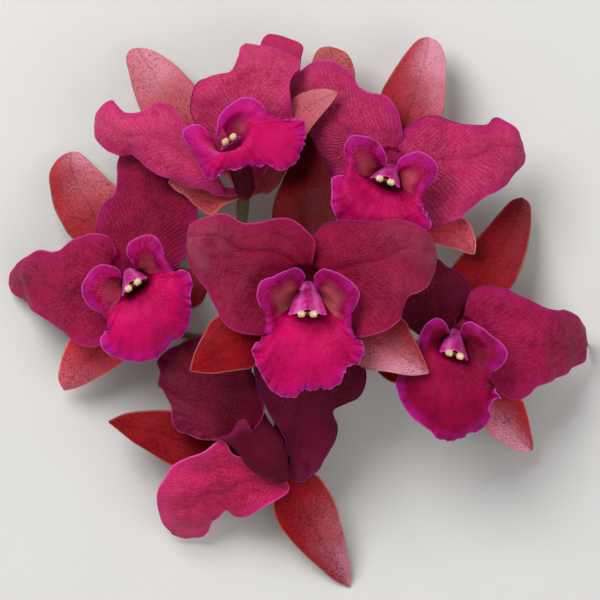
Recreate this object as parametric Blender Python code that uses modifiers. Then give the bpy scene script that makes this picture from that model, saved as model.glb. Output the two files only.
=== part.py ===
"""Cut flower head of a cattleya orchid: seven open blooms on one short stalk.

The head lies on a surface with its faces up. Outlines are typed on a flat grid of 600 units
a side, x to the right and y towards the stalk's end, with heights in millimetres over the
surface. place() turns a grid point into metres.
"""
import math

import bmesh
import bpy
import numpy as np

for old in list(bpy.data.objects):
    bpy.data.objects.remove(old)
HEAD = bpy.data.collections.new("cattleya_orchid")
bpy.context.scene.collection.children.link(HEAD)

# Driving dimensions
UNIT = 0.3226e-3            # one grid unit, from a bloom 80 mm across
MM = 0.001
GRID_X, GRID_Y = 298.5, 311.85   # grid point over the origin
PETAL_THICK = 0.9e-3
SEPAL_THICK = 1.0e-3
LIP_THICK = 0.7e-3
GAP = 0.35e-3               # air between two nodes of a bloom
SEAT_RADIUS = 2.9e-3        # disc that a ring of petals or sepals grows from
SEAT_DEEP = 1.5e-3
CLAW_RADIUS = 3.3e-3        # root of the lip, round the column's root
COLUMN_ROOT = 1.7e-3
COLUMN_FLARE = 1.1          # how late the column widens to its hood
OVARY_RADIUS = 2.1e-3
PEDICEL_RADIUS = 1.5e-3
STALK_RADIUS = 2.8e-3
POLLEN = 1.15e-3            # half width of a pollen cap

SEAT_ROOT = 0.45            # share of the seat's radius where a blade's root line is
SEAT_HALF = 0.62            # half the width of that root line, as a share too
EDGE_START = (0.15, 0.55)   # where the ripple of a blade's two margins starts, in turns
PETAL_ROWS, PETAL_COLS = 11, 6
SEPAL_ROWS, SEPAL_COLS = 6, 4
SMALL_ROWS, SMALL_COLS = 8, 5            # of the petals of the hidden bloom
LIP_STEPS, LIP_RINGS = 34, 6
SMALL_STEPS, SMALL_RINGS = 20, 5
COLUMN_STATIONS = (0.0, 0.35, 0.7, 0.93, 1.0)
COLUMN_SIDES = 10
COLUMN_BELLY = 0.45         # the column's underside stands out this share of its top
COLUMN_END = (0.8, 0.5)     # shares of the hood's width and depth at its blunt end
COLUMN_LIFT = 0.6           # millimetres between the lip's claw and the column's root
LIP_WAIST = -0.12           # how far the tube bulges, as a share of the throat's radius
POLLEN_BACK = 1.0e-3        # from the column's tip back to the pollen
LOBE_SHARES = (0, 0.25, 0.75, 1)         # of the rim's steps: side, middle, side
LOBE_TURNS = (-155, -80, 80, 155)        # degrees round the mouth where the lobes meet
CLAW_WRAP = 0.68            # share of those turns that the claw makes round the column
LIP_EASING = 6              # passes that even the lip's rings out between its ends

COLOURS = {
    "petals": (0.30, 0.018, 0.075), "sepals": (0.36, 0.045, 0.045),
    "lip": (0.48, 0.012, 0.14), "column": (0.50, 0.09, 0.26),
    "pollen": (0.78, 0.68, 0.42), "stalk": (0.20, 0.19, 0.07),
}

# Each bloom: seat = where its parts meet, axis = the way it faces (x, away from the stalk's
# end, up), down = direction from the column to the lip's middle lobe. A blade is a pair
# of edges, root to tip, as (grid x, grid y, height); arch lifts its middle in millimetres.
# The lip's rim comes in three runs: one side lobe, the middle lobe and the other side lobe.
BLOOMS = {
    "front": {
        "seat": (308, 283, 46), "axis": (0.0, -0.30, 0.95), "down": (0.0, -1.0, 0.0),
        "petals": [
            {"one": [(304, 260, 54), (310, 241, 59.5), (303, 228, 62), (291, 221, 64),
                     (277, 219, 65), (258, 223, 65), (242, 223, 65), (230, 216, 66),
                     (219, 214, 66), (207, 218, 65), (197, 223, 62), (190, 231, 58),
                     (187, 247, 54)],
             "two": [(294, 290, 52), (283, 305, 53), (266, 333, 56), (248, 334, 57),
                     (232, 329, 59), (221, 318, 60), (215, 303, 60), (205, 287, 60),
                     (196, 275, 59), (190, 265, 57), (187, 247, 54)],
             "arch": (0, -1.5, -2.0, 0.5, 2.0, 0), "wave": 0.7, "turns": 3.3},
            {"one": [(312, 260, 52), (311, 243, 56), (316, 234, 59), (325, 225, 61.5),
                     (345, 220, 64), (360, 221, 64), (375, 222, 64), (395, 219, 65),
                     (410, 222, 64), (425, 232, 61), (433, 242, 58), (437, 256, 55)],
             "two": [(324, 292, 53), (336, 310, 54), (350, 334, 56), (362, 337, 57),
                     (376, 334, 58), (390, 328, 60), (400, 320, 60), (403, 308, 60),
                     (408, 296, 60), (416, 292, 59), (426, 285, 58), (434, 272, 56),
                     (437, 256, 55)],
             "arch": (0, -1.5, -2.0, 0.5, 2.0, 0), "wave": 0.7, "turns": 3.6}],
        "sepals": [
            {"one": [(285, 300, 47), (250, 312, 48), (215, 318, 50), (203, 337, 50),
                     (195, 353, 49), (190, 371, 48)],
             "two": [(296, 318, 46), (272, 350, 47), (252, 367, 48), (235, 370, 49),
                     (213, 373, 49), (190, 371, 48)],
             "arch": (0, 1.5, 2.5, 1.0, 0)},
            {"one": [(330, 300, 47), (365, 312, 48), (402, 319, 50), (411, 334, 50),
                     (420, 352, 49), (429, 373, 48)],
             "two": [(320, 318, 46), (342, 350, 47), (362, 367, 48), (385, 371, 49),
                     (412, 375, 49), (429, 373, 48)],
             "arch": (0, 1.5, 2.5, 1.0, 0)},
            {"one": [(296, 258, 45), (280, 240, 44), (273, 222, 42), (275, 200, 38),
                     (284, 178, 32.5), (292, 155, 30.3), (297, 140, 29.5), (301, 128, 29)],
             "two": [(320, 258, 45), (334, 240, 44), (338, 222, 42), (334, 190, 40),
                     (327, 170, 36), (319, 150, 32), (309, 133, 30), (301, 128, 29)],
             "arch": (0, -1.0, -1.5, -1.0, 0)}],
        "throat": (308, 311, 57), "mouth": (24, 10, 23), "dip": 5,
        "rim": ([(302, 284, 56), (305, 276, 61), (298, 268, 65), (288, 270, 68),
                 (275, 276, 68), (262, 281, 67), (257, 293, 66), (259, 303, 64),
                 (265, 311, 62), (270, 318, 61.5), (273, 325, 61)],
                [(271, 333, 61), (262, 340, 61), (252, 347, 60), (254, 357, 58),
                 (260, 371, 57), (267, 384, 56), (273, 391, 55), (282, 396, 54),
                 (294, 397, 54), (303, 391, 55), (315, 389, 54), (330, 388, 55),
                 (341, 382, 56), (344, 371, 58), (352, 365, 58), (361, 365, 58),
                 (364, 350, 59), (361, 341, 61), (352, 335.5, 61), (345.5, 330, 61)],
                [(345, 321, 61.5), (351, 313, 62), (357, 303, 64), (359, 292, 66),
                 (350, 281, 67), (337, 273, 68), (324, 269, 66), (315, 275, 61),
                 (314, 284, 56)]),
        "swell": (3.0, 4.0), "frill": 0.9,
        "tip": (307.5, 315, 64), "hood": (6.4, 2.3), "flare": 0.7, "pollen": (5.6, 64.2)},
    "upper_left": {
        "seat": (244, 190, 29), "axis": (0.05, 0.60, 0.80), "down": (0.54, -0.84, 0.0),
        "petals": [
            {"one": [(224, 180, 33), (210, 165, 35), (199, 146, 37), (185, 125, 37),
                     (172, 106, 36), (158, 102, 35), (146, 108, 34), (138, 113, 33),
                     (125, 113, 32), (118, 106, 31), (112, 100, 30), (104, 104, 28),
                     (97, 113, 26), (94, 126, 24)],
             "two": [(226, 196, 32), (212, 192, 32), (202, 188, 33), (190, 185, 33),
                     (178, 181, 33), (168, 177, 33), (155, 173, 32), (145, 166, 31),
                     (137, 158, 31), (130, 155, 30), (122, 157, 29), (113, 154, 28),
                     (105, 149, 27), (97, 140, 26), (94, 126, 24)],
             "arch": (0, 1.0, 2.0, 3.0, 3.0, 0), "wave": 0.8, "turns": 3.4},
            {"one": [(234, 172, 28), (214, 152, 31), (199, 130, 35), (191, 113, 37),
                     (191, 98, 39), (195, 86, 38), (203, 79, 37), (212, 77, 36),
                     (222, 75, 35), (233, 68, 34), (239, 57, 33), (241, 47, 31),
                     (246, 43, 30)],
             "two": [(262, 172, 29), (279, 150, 33), (291, 125, 36.5), (291, 100, 38),
                     (289, 85, 37), (293, 73, 37), (300, 66, 35), (300, 59, 34),
                     (290, 54, 33), (275, 49, 32), (258, 46, 31), (246, 43, 30)],
             "arch": (0, -1.0, -2.0, -1.0, 1.5, 0), "wave": 0.8, "turns": 3.1}],
        "sepals": [
            {"one": [(226, 176, 24), (190, 155, 22), (158, 133, 20), (142, 112, 17),
                     (134, 92, 14), (129, 72, 12), (126, 57, 10), (130, 49, 9),
                     (139, 47, 9)],
             "two": [(238, 170, 23), (222, 145, 23), (206, 115, 22), (196, 88, 19),
                     (184, 74, 16), (173, 63, 13), (162, 55, 11), (150, 49, 10),
                     (139, 47, 9)],
             "arch": (0, -1.0, -1.5, 0, 1.0, 0)},
            {"one": [(231, 198, 27.3), (216, 192, 28.5), (203, 188, 29), (190, 188, 29),
                     (181, 184, 29), (173, 178, 29), (168, 182, 28)],
             "two": [(237, 207, 25.6), (225, 213, 25), (212, 216, 25), (196, 206, 26),
                     (185, 195, 27), (176, 190, 28), (168, 182, 28)],
             "arch": (0, -0.8, -1.0, -0.8, 0)},
            {"one": [(258, 180, 24), (272, 155, 25.5), (285, 120, 28.5), (293, 99, 32),
                     (305, 92, 35), (320, 89, 37), (330, 90, 37), (338, 93, 37)],
             "two": [(262, 190, 29), (274, 179, 34.5), (288, 165, 38.5), (299, 148, 39.5),
                     (309, 131, 39), (319, 118, 38), (330, 105, 38), (338, 93, 37)],
             "arch": (0, 0.5, 1.0, 0.5, 0)}],
        "throat": (233, 138, 52), "mouth": (22, 12, 15), "dip": 9, "twist": 32,
        "rim": ([(209, 134, 46.3), (205, 129, 47.6), (199, 125, 48.7), (193, 125, 49.2),
                 (188, 127, 49), (183, 132, 48), (185, 141, 47), (192, 149, 46),
                 (197, 158, 45), (200, 167, 45)],
                [(205, 176, 45), (212, 180, 46), (219, 175, 48), (225, 169, 49),
                 (232, 170, 49), (240, 169, 49), (247, 164, 49), (254, 167, 49),
                 (260, 168, 49), (267, 164, 49), (273, 167, 48), (279, 171, 47),
                 (287, 169, 46), (295, 163, 45), (301, 152, 44), (306, 137, 44),
                 (304, 121, 45), (295, 120, 46), (286, 119, 47), (278, 119, 47),
                 (271, 119, 46.5)],
                [(267, 114, 46.5), (264, 108, 47), (259, 102, 48), (250, 98, 48),
                 (240, 99, 49), (229, 106, 49), (220, 116, 48), (217, 128, 46),
                 (216, 139, 43.5)]),
        "swell": (2.0, 1.5), "frill": 0.8,
        "tip": (231, 143, 48), "hood": (4.0, 1.6), "pollen": (4.4, 48.4)},
    "upper_right": {
        "seat": (392, 167, 30), "axis": (-0.08, -0.22, 0.97), "down": (-0.32, -0.95, 0.0),
        "petals": [
            {"one": [(401, 150, 33), (402, 135, 35), (400, 120, 36), (396, 107, 36),
                     (388, 97, 35), (378, 94, 34), (368, 92, 34), (358, 86, 33),
                     (353, 76, 32), (345, 68, 31), (333, 61, 30), (320, 61, 29),
                     (310, 65, 27), (300, 71, 26), (290, 79, 26), (282, 90, 25)],
             "two": [(378, 174, 32), (360, 178, 31), (342, 180, 30), (326, 176, 29),
                     (312, 163, 28), (301, 145, 27), (292, 125, 26), (284, 107, 25),
                     (282, 90, 25)],
             "arch": (0, 0.5, 1.0, 1.5, 1.5, 0), "wave": 0.7, "turns": 3.2},
            {"one": [(398, 152, 33), (400, 140, 35), (404, 130, 35), (412, 123, 36),
                     (425, 116, 36), (438, 116, 36), (448, 120, 35), (462, 124, 34),
                     (475, 125, 33), (486, 125, 32), (491, 120, 31), (497, 118, 30),
                     (506, 121, 29), (515, 127, 28), (520, 139, 26), (526, 155, 23)],
             "two": [(402, 182, 33), (411, 206, 34), (423, 224, 34), (433, 228, 34),
                     (448, 223, 34), (460, 218, 34), (470, 210, 33), (483, 198, 32),
                     (498, 191, 30), (508, 182, 28), (518, 171, 26), (525, 162, 24),
                     (526, 155, 23)],
             "arch": (0, -1.0, -1.0, 1.0, 2.0, 0), "wave": 0.8, "turns": 3.7}],
        "sepals": [
            {"one": [(387, 148, 29), (381, 120, 28), (381, 95, 26), (390, 77, 22),
                     (400, 61, 19), (410, 48, 16), (419, 39, 13), (428, 36, 12)],
             "two": [(404, 150, 29), (428, 132, 29), (443, 112, 26), (445, 95, 22),
                     (446, 75, 19), (445, 57, 16), (439, 42, 13), (428, 36, 12)],
             "arch": (0, -1.0, -1.5, 0.5, 1.0, 0)},
            {"one": [(408, 186, 28), (425, 206, 28), (445, 221, 29), (463, 218, 28),
                     (470, 224, 28), (474, 234, 27), (476, 244, 26), (475, 254, 25)],
             "two": [(398, 195, 27), (408, 220, 27), (420, 238, 27), (434, 243, 27),
                     (448, 247, 26), (460, 250, 26), (468, 253, 25), (475, 254, 25)],
             "arch": (0, 0.5, 1.0, 1.0, 0)},
            {"one": [(378, 166, 26), (358, 171, 25), (335, 180, 24), (315, 192, 23),
                     (301, 208, 22), (294, 222, 21)],
             "two": [(382, 185, 26), (368, 205, 25), (345, 222, 24), (322, 230, 23),
                     (306, 229, 22), (294, 222, 21)],
             "arch": (0, 0.5, 1.0, 0.5, 0)}],
        "throat": (385, 183, 45), "mouth": (23, 9, 19), "dip": 5,
        "rim": ([(386, 167, 41), (386, 156, 44), (380, 145, 46), (372, 139, 48),
                 (362, 136, 48), (352, 136, 47), (346, 142, 46), (344, 151, 45),
                 (346, 160, 44), (350, 170, 44)],
                [(349, 176, 46), (339, 175, 47), (331, 180, 48), (332, 190, 48),
                 (331, 202, 48), (334, 213, 48), (339, 223, 47), (350, 231, 46),
                 (364, 235, 45), (380, 236, 45), (396, 234, 46), (410, 230, 47),
                 (420, 229, 48), (430, 229, 48), (432, 220, 48), (427, 211, 49),
                 (420, 206, 49), (415.5, 201, 47.5)],
                [(419, 193, 46), (428.5, 186, 46), (436, 177, 46), (437, 166, 47),
                 (430, 157, 48), (419, 152, 48), (408, 154, 47), (399, 160, 45),
                 (396, 169, 41)]),
        "swell": (2.5, 4.5), "frill": 0.9,
        "tip": (384.5, 183, 51), "hood": (5.2, 2.1), "flare": 0.7, "pollen": (5.7, 51.4)},
    "left": {
        "seat": (129, 272, 28), "axis": (0.02, -0.16, 0.985), "down": (0.59, -0.81, 0.0),
        "petals": [
            {"one": [(118, 262, 28), (104, 248, 28), (95, 234, 27), (97, 217, 26),
                     (104, 203, 25), (114, 192, 24), (117, 177, 23), (117, 163, 21),
                     (121, 152, 19), (132, 145, 18), (146, 144, 18)],
             "two": [(150, 276, 29), (170, 272, 29), (182, 262, 29), (190, 245, 28),
                     (195, 228, 27), (197, 213, 24), (192, 199, 21), (184, 184, 20),
                     (174, 168, 19), (162, 152, 18), (146, 144, 18)],
             "arch": (0, 1.5, 2.0, 2.0, 1.0, 0), "wave": 0.6, "turns": 3.0},
            {"one": [(119, 258, 31), (114, 246, 33), (107, 236, 34), (95, 233, 33),
                     (82, 236, 31), (70, 241, 29), (61, 250, 27), (50, 252, 24),
                     (39, 250, 21), (31, 255, 17.5), (20, 261, 12.5), (12, 270, 7),
                     (7, 283, 0.13)],
             "two": [(119, 288, 30), (112, 312, 31), (108, 332, 31), (100, 345, 30),
                     (88, 347, 29), (75, 342, 27), (65, 333, 25), (50, 321, 22),
                     (38, 314, 18), (28, 307, 13), (18, 299, 8), (11, 291, 4),
                     (7, 283, 0.13)],
             "arch": (0, -1.0, 0.5, 2.0, 2.0, 0), "wave": 0.8, "turns": 3.8}],
        "sepals": [
            {"one": [(118, 262, 25), (95, 250, 23), (72, 238, 20), (61, 222, 18),
                     (53, 205, 15), (49, 185, 12), (49, 172, 9), (55, 161, 7),
                     (63, 154, 5), (71, 151, 4)],
             "two": [(128, 255, 25), (125, 230, 24), (124, 207, 20), (117, 189, 18),
                     (105, 177, 15), (95, 167, 12), (86, 158, 8), (78, 152, 6),
                     (71, 151, 4)],
             "arch": (0, -0.5, -1.0, 0.5, 1.0, 0)},
            {"one": [(119, 290, 25), (98, 310, 24), (80, 325, 22), (70, 338, 20),
                     (63, 353, 17), (59, 367, 14), (58, 380, 11), (63, 391, 8)],
             "two": [(130, 300, 25), (132, 330, 23), (129, 352, 21), (122, 363, 19),
                     (105, 373, 16), (90, 381, 13), (75, 388, 10), (63, 391, 8)],
             "arch": (0, 0.5, 1.5, 1.0, 0)},
            {"one": [(142, 275, 25), (160, 271, 26), (180, 268, 27), (198, 272, 28),
                     (206, 282, 28), (207, 291, 28)],
             "two": [(142, 290, 25), (160, 303, 26), (178, 312, 26), (190, 309, 27),
                     (200, 304, 28), (207, 291, 28)],
             "arch": (0, 0.5, 1.0, 0.5, 0)}],
        "throat": (137, 286, 44), "mouth": (24, 9, 20), "dip": 5,
        "rim": ([(122, 276, 40), (118, 269, 43), (108, 265, 45), (97, 266, 46),
                 (88, 275, 45), (82, 287, 44), (84, 298, 43), (90, 307, 42),
                 (99, 312, 41.5), (109, 315, 42), (117, 319, 42.5)],
                [(117, 325, 43), (109, 331, 44), (101, 337, 44), (101, 345, 44),
                 (105, 351, 43), (113, 356, 42), (126, 360, 41), (140, 362, 40),
                 (154, 359, 40), (164, 352, 40), (171, 342, 41), (181, 337, 41),
                 (188, 328, 42), (191, 315, 43), (193, 303, 44), (191, 294, 45),
                 (193, 284, 46), (190, 275, 47), (184, 270, 47), (177, 271, 46),
                 (171, 271, 45.5)],
                [(167, 265, 45.5), (164, 254, 46), (160, 242, 47), (154, 236, 47),
                 (147, 235, 47), (137, 238, 47), (129, 244, 46), (127, 253, 44),
                 (132, 262, 40)]),
        "swell": (2.5, 5.0), "frill": 0.8,
        "tip": (135, 287, 49), "hood": (5.2, 2.1), "flare": 0.7, "pollen": (5.2, 49.3)},
    "right": {
        "seat": (455, 332, 29), "axis": (-0.05, -0.18, 0.98), "down": (-0.30, -0.95, 0.0),
        "petals": [
            {"one": [(441, 336, 28), (424, 336, 29), (408, 326, 30), (399, 310, 30),
                     (396, 290, 30), (402, 272, 29), (415, 259, 28), (428, 255, 28),
                     (440, 260, 27)],
             "two": [(457, 317, 29), (466, 304, 29), (471, 292, 29), (468, 280, 29),
                     (458, 271, 28), (448, 267, 28), (440, 260, 27)],
             "arch": (0, 1.5, 3.0, 3.0, 1.0, 0), "wave": 0.5, "turns": 2.6},
            {"one": [(463, 320, 32), (466, 305, 34), (471, 293, 35), (480, 287, 35),
                     (492, 286, 35), (507, 289, 34), (520, 296, 33), (535, 302, 31),
                     (547, 309, 29), (556, 311, 26), (566, 310, 22), (576, 317, 16),
                     (585, 328, 9), (590, 345, 0.09)],
             "two": [(470, 344, 31), (480, 362, 32), (490, 379, 32), (501, 393, 32),
                     (515, 400, 31), (527, 396, 30), (538, 386, 28), (550, 381, 25),
                     (562, 378, 21), (573, 370, 14.5), (583, 361, 8), (590, 345, 0.09)],
             "arch": (0, -1.0, 0.5, 2.0, 2.5, 0), "wave": 0.7, "turns": 3.2}],
        "sepals": [
            {"one": [(448, 318, 26), (444, 298, 25), (450, 272, 23), (460, 258, 20),
                     (476, 240, 17), (490, 225, 14), (503, 210, 11), (513, 200, 9),
                     (523, 197, 8)],
             "two": [(464, 318, 26), (487, 304, 26), (507, 292, 23), (517, 278, 20),
                     (525, 258, 16), (530, 237, 13), (532, 216, 10), (530, 203, 9),
                     (523, 197, 8)],
             "arch": (0, -1.5, -2.0, -0.5, 1.0, 0)},
            {"one": [(462, 345, 25), (473, 378, 24), (482, 410, 21), (488, 431, 19),
                     (500, 441, 16), (514, 449, 12), (528, 453, 9), (534, 451, 8)],
             "two": [(472, 342, 26), (494, 375, 26), (511, 395, 25), (523, 401, 22),
                     (527, 412, 18), (531, 430, 13), (534, 443, 10), (534, 451, 8)],
             "arch": (0, 0.5, 1.0, 1.0, 0)},
            {"one": [(443, 338, 25), (425, 345, 24), (405, 355, 25), (390, 363, 26),
                     (378, 372, 27)],
             "two": [(448, 352, 25), (430, 370, 25), (412, 380, 25), (398, 383, 26),
                     (388, 380, 27), (378, 372, 27)],
             "arch": (0, 0.5, 1.0, 0.5, 0)}],
        "throat": (453, 351, 44), "mouth": (21, 10, 18), "dip": 5,
        "rim": ([(449, 333, 41.5), (446, 324, 44), (438, 318, 45), (428, 322, 46),
                 (421, 332, 45), (418, 343, 44), (420, 351, 42), (420, 358, 41)],
                [(411, 364, 42), (402, 371, 41), (396, 381, 41), (398, 393, 41),
                 (403, 405, 41), (412, 417, 41), (425, 427, 40), (431, 431, 40),
                 (437, 438, 39), (447, 441, 38), (459, 439, 38), (470, 433, 39),
                 (480, 430, 40), (487, 424, 42), (491, 415, 44), (489, 405, 45),
                 (494, 400, 46), (502, 399, 46), (499, 394, 45), (489, 394, 44),
                 (481, 391, 43), (478, 384, 43)],
                [(482, 377, 43.5), (491, 372.5, 44), (501, 366, 45), (507, 355, 46),
                 (503, 345, 46), (492, 336, 47), (482, 328, 47), (471, 322, 46),
                 (463, 324, 44), (460, 332, 40)]),
        "swell": (2.5, 4.5), "frill": 0.8,
        "tip": (453.5, 356, 48), "hood": (5.0, 2.1), "flare": 0.7, "pollen": (5.4, 48.4)},
    "lower": {
        "seat": (284, 474, 24), "axis": (-0.25, -0.20, 0.95), "down": (-0.30, 0.33, -0.90),
        "look": (-0.57, 0.70, 0.42), "claw": ((-0.47, 0.57, 0.67), 2.8, 1.8),
        "petals": [
            {"one": [(268, 476, 26), (249, 465, 29), (235, 454, 31), (222, 440, 32),
                     (211, 445, 32), (202, 452, 31), (186, 459, 29), (172, 467, 27),
                     (165, 478, 24), (158, 490, 20), (157, 506, 15), (162, 522, 10),
                     (172, 536, 5)],
             "two": [(289, 490, 23.5), (280, 498, 22.5), (266, 506, 21), (251, 515, 19),
                     (239, 519, 17), (231, 518, 16), (227, 512, 16), (219, 517, 14),
                     (212, 522, 12), (208, 531, 9), (200, 538, 6), (187, 541, 4),
                     (172, 536, 5)],
             "arch": (0, -2.0, -1.0, 2.0, 3.0, 0), "wave": 0.6, "turns": 3.0},
            {"one": [(290, 464, 26), (286, 447, 29), (279, 431, 32), (271, 416, 35),
                     (262, 400, 36), (257, 385, 36), (254, 370, 36), (256, 355, 35),
                     (265, 343, 34), (280, 335, 33), (300, 331, 32)],
             "two": [(300, 482, 24), (315, 473, 25), (325, 459, 25), (334, 443, 26),
                     (337, 427, 27), (333, 411, 28), (345, 404, 28), (358, 398, 28),
                     (365, 386, 29), (366, 372, 30), (360, 357, 31), (347, 344, 32),
                     (325, 334, 32), (300, 331, 32)],
             "arch": (0, -4.0, -4.5, -2.0, 0, 0), "wave": 0.6, "turns": 2.8}],
        "sepals": [
            {"one": [(266, 458, 20), (240, 434, 22), (215, 424, 24), (190, 416, 25),
                     (170, 411, 24), (148, 411, 22), (125, 414, 19), (107, 422, 15)],
             "two": [(272, 476, 20), (242, 474, 21), (212, 474, 22), (186, 470, 23),
                     (166, 463, 22), (147, 451, 20), (126, 437, 17), (107, 422, 15)],
             "arch": (0, -0.5, -1.0, 0.5, 0)},
            {"one": [(284, 484, 20), (274, 503, 18), (278, 523, 15), (291, 541, 12),
                     (306, 557, 8), (322, 571, 5), (337, 583, 2), (350, 589, 0.43)],
             "two": [(297, 478, 21), (314, 474, 21), (326, 487, 18), (335, 504, 15),
                     (341, 525, 12), (346, 548, 8), (350, 570, 4), (350, 589, 0.43)],
             "arch": (0, 1.0, 2.0, 1.0, 0)},
            {"one": [(278, 460, 20), (274, 430, 20), (279, 400, 20), (290, 372, 19),
                     (306, 350, 18)],
             "two": [(294, 464, 20), (308, 440, 20), (319, 410, 20), (320, 380, 19),
                     (306, 350, 18)],
             "arch": (0, -0.5, -1.0, -0.5, 0)}],
        "throat": (248, 430, 32.5), "mouth": (21, 10, 13), "dip": 0,
        "turns": (-172, -80, 80, 172), "wrap": 0.84, "waist": -0.10,
        "rim": ([(256, 425, 37), (261, 419, 37), (264, 412, 36), (264, 404, 34.3),
                 (261, 397, 33)],
                [(258, 389, 32), (255, 381, 31.5), (253, 373, 31), (253, 364, 31),
                 (252, 354, 31), (244, 343, 32), (230, 335, 32), (212, 333, 32),
                 (195, 337, 32), (180, 344, 32), (165, 352, 31), (157, 362, 31),
                 (160, 372, 31), (158, 383, 30), (164, 393, 30), (171, 406, 31),
                 (172, 421, 31), (178, 431, 31), (187, 434, 31.7), (196, 438, 32.6),
                 (205, 440, 33.3), (213, 440, 34.0), (221, 440, 34.6)],
                [(228, 435, 35.3), (235, 427, 36.4), (240, 420, 37.5), (246, 420, 37.5),
                 (251, 427, 37)]),
        "swell": (1.5, 2.5), "frill": 0.7,
        "tip": (253, 435, 32), "hood": (2.2, 1.1), "pollen": (2.6, 32)},
    "rear": {
        "seat": (315, 165, 12.5), "axis": (0.0, 0.985, 0.17), "down": (0.0, 0.17, -0.985),
        "claw": ((0.0, 0.985, 0.17), 2.5, 0.0),
        "petals": [
            {"one": [(303, 165, 11), (290, 150, 13), (277, 125, 17), (264, 95, 20),
                     (259, 65, 21), (261, 42, 20), (268, 34, 19), (280, 35, 19)],
             "two": [(309, 165, 17), (305, 150, 19), (303, 125, 20), (302, 95, 21),
                     (300, 75, 21.5), (301, 57, 21.5), (303, 47, 21), (298, 41, 20),
                     (290, 38, 19), (280, 35, 19)],
             "arch": (0, 0.5, 1.0, 0.5, 0), "wave": 0.4, "turns": 2.0},
            {"one": [(325, 165, 13), (335, 150, 14), (350, 128, 15), (368, 112, 14),
                     (388, 112, 12)],
             "two": [(323, 165, 8.5), (332, 155, 8), (350, 145, 8), (372, 130, 9),
                     (388, 112, 12)],
             "arch": (0, 0.5, 1.0, 0.5, 0), "wave": 0.4, "turns": 2.0}],
        "sepals": [
            {"one": [(311, 171, 20), (311, 150, 21), (310, 120, 20.5), (309, 92, 20),
                     (311, 70, 19.5), (314, 57, 19.5), (320, 48, 19), (330, 46, 18)],
             "two": [(323, 171, 20), (331, 150, 20.5), (341, 122, 20), (351, 97, 19.5),
                     (355, 77, 19), (352, 62, 19), (345, 52, 18.5), (330, 46, 18)],
             "arch": (0, 0.5, 1.0, 0.5, 0)},
            {"one": [(304, 170, 9), (290, 150, 8), (265, 120, 7), (243, 92, 6),
                     (230, 84, 5)],
             "two": [(309, 170, 5), (300, 152, 4), (275, 135, 4), (248, 112, 4),
                     (230, 84, 5)],
             "arch": (0, 0.5, 1.0, 0.5, 0)},
            {"one": [(313, 170, 5), (306, 150, 3.5), (300, 120, 2.5), (299, 98, 1.5),
                     (310, 76, 0.50)],
             "two": [(321, 170, 6), (322, 150, 4), (328, 122, 2.5), (322, 98, 1.5),
                     (310, 76, 0.50)],
             "arch": (0, 0.2, 0.3, 0)}],
        "throat": (313, 135, 12), "mouth": (13, 11, 9), "dip": 0,
        "rim": ([(316, 134, 16), (322, 128, 16), (329, 118, 15)],
                [(333, 108, 12.5), (330, 100, 10), (324, 96, 8), (316, 91, 7),
                 (308, 91, 7), (300, 95, 8), (295, 102, 10), (294, 110, 12.5),
                 (297, 120, 15)],
                [(303, 129, 16), (310, 134, 16)]),
        "swell": (0.5, 0.5), "frill": 0.3,
        "tip": (314, 143, 12), "hood": (2.0, 1.2), "pollen": (2.0, 10.5)},
}

# Stalk: knots from the cut end up to the hub, then one run from the hub to each bloom.
HUB = (300, 300, 12)
STALK = [(298, 455, 2.78), (299, 400, 5.0), (300, 350, 8.5), HUB]
PEDICELS = {
    "front": [HUB, (303, 290, 24)],
    "upper_left": [HUB, (270, 268, 10), (244, 226, 14)],
    "upper_right": [HUB, (330, 268, 11), (372, 212, 14)],
    "left": [HUB, (240, 330, 10), (187, 337, 13), (146, 302, 15)],
    "right": [HUB, (380, 334, 11), (430, 345, 15)],
    "lower": [HUB, (316, 380, 7), (318, 440, 7), (302, 472, 12)],
    "rear": [HUB, (305, 262, 9), (313, 215, 9)],
}


def place(point):
    """Grid point and height in millimetres to metres."""
    x, y, z = point
    return np.array([(x - GRID_X) * UNIT, (GRID_Y - y) * UNIT, z * MM])


def unit(vector):
    vector = np.asarray(vector, float)
    return vector / np.linalg.norm(vector)


def curve(points, at):
    """Smooth curve through points, read at fractions of its length."""
    points = np.asarray(points, float)
    steps = np.linalg.norm(np.diff(points, axis=0), axis=1)
    knots = np.concatenate([[0], np.cumsum(steps)]) / steps.sum()
    slopes = np.empty_like(points)
    slopes[1:-1] = (points[2:] - points[:-2]) / (knots[2:] - knots[:-2])[:, None]
    slopes[0] = (points[1] - points[0]) / (knots[1] - knots[0])
    slopes[-1] = (points[-1] - points[-2]) / (knots[-1] - knots[-2])
    at = np.clip(np.asarray(at, float), 0, 1)
    cell = np.clip(np.searchsorted(knots, at, side="right") - 1, 0, len(knots) - 2)
    wide = (knots[cell + 1] - knots[cell])[:, None]
    t = ((at - knots[cell])[:, None]) / wide
    return ((2 * t**3 - 3 * t**2 + 1) * points[cell] + (t**3 - 2 * t**2 + t) * wide * slopes[cell]
            + (3 * t**2 - 2 * t**3) * points[cell + 1] + (t**3 - t**2) * wide * slopes[cell + 1])


def new_object(name, vertices, faces):
    mesh = bpy.data.meshes.new(name)
    mesh.from_pydata([tuple(v) for v in vertices], [], faces)
    mesh.update()
    thing = bpy.data.objects.new(name, mesh)
    HEAD.objects.link(thing)
    return thing


def evaluated(thing):
    """Replace an object's mesh by what its modifiers make of it."""
    shown = thing.evaluated_get(bpy.context.evaluated_depsgraph_get())
    mesh = bpy.data.meshes.new_from_object(shown)
    thing.modifiers.clear()
    thing.data = mesh
    return thing


def outward(thing):
    work = bmesh.new()
    work.from_mesh(thing.data)
    bmesh.ops.recalc_face_normals(work, faces=work.faces)
    work.to_mesh(thing.data)
    work.free()
    return thing


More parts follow.
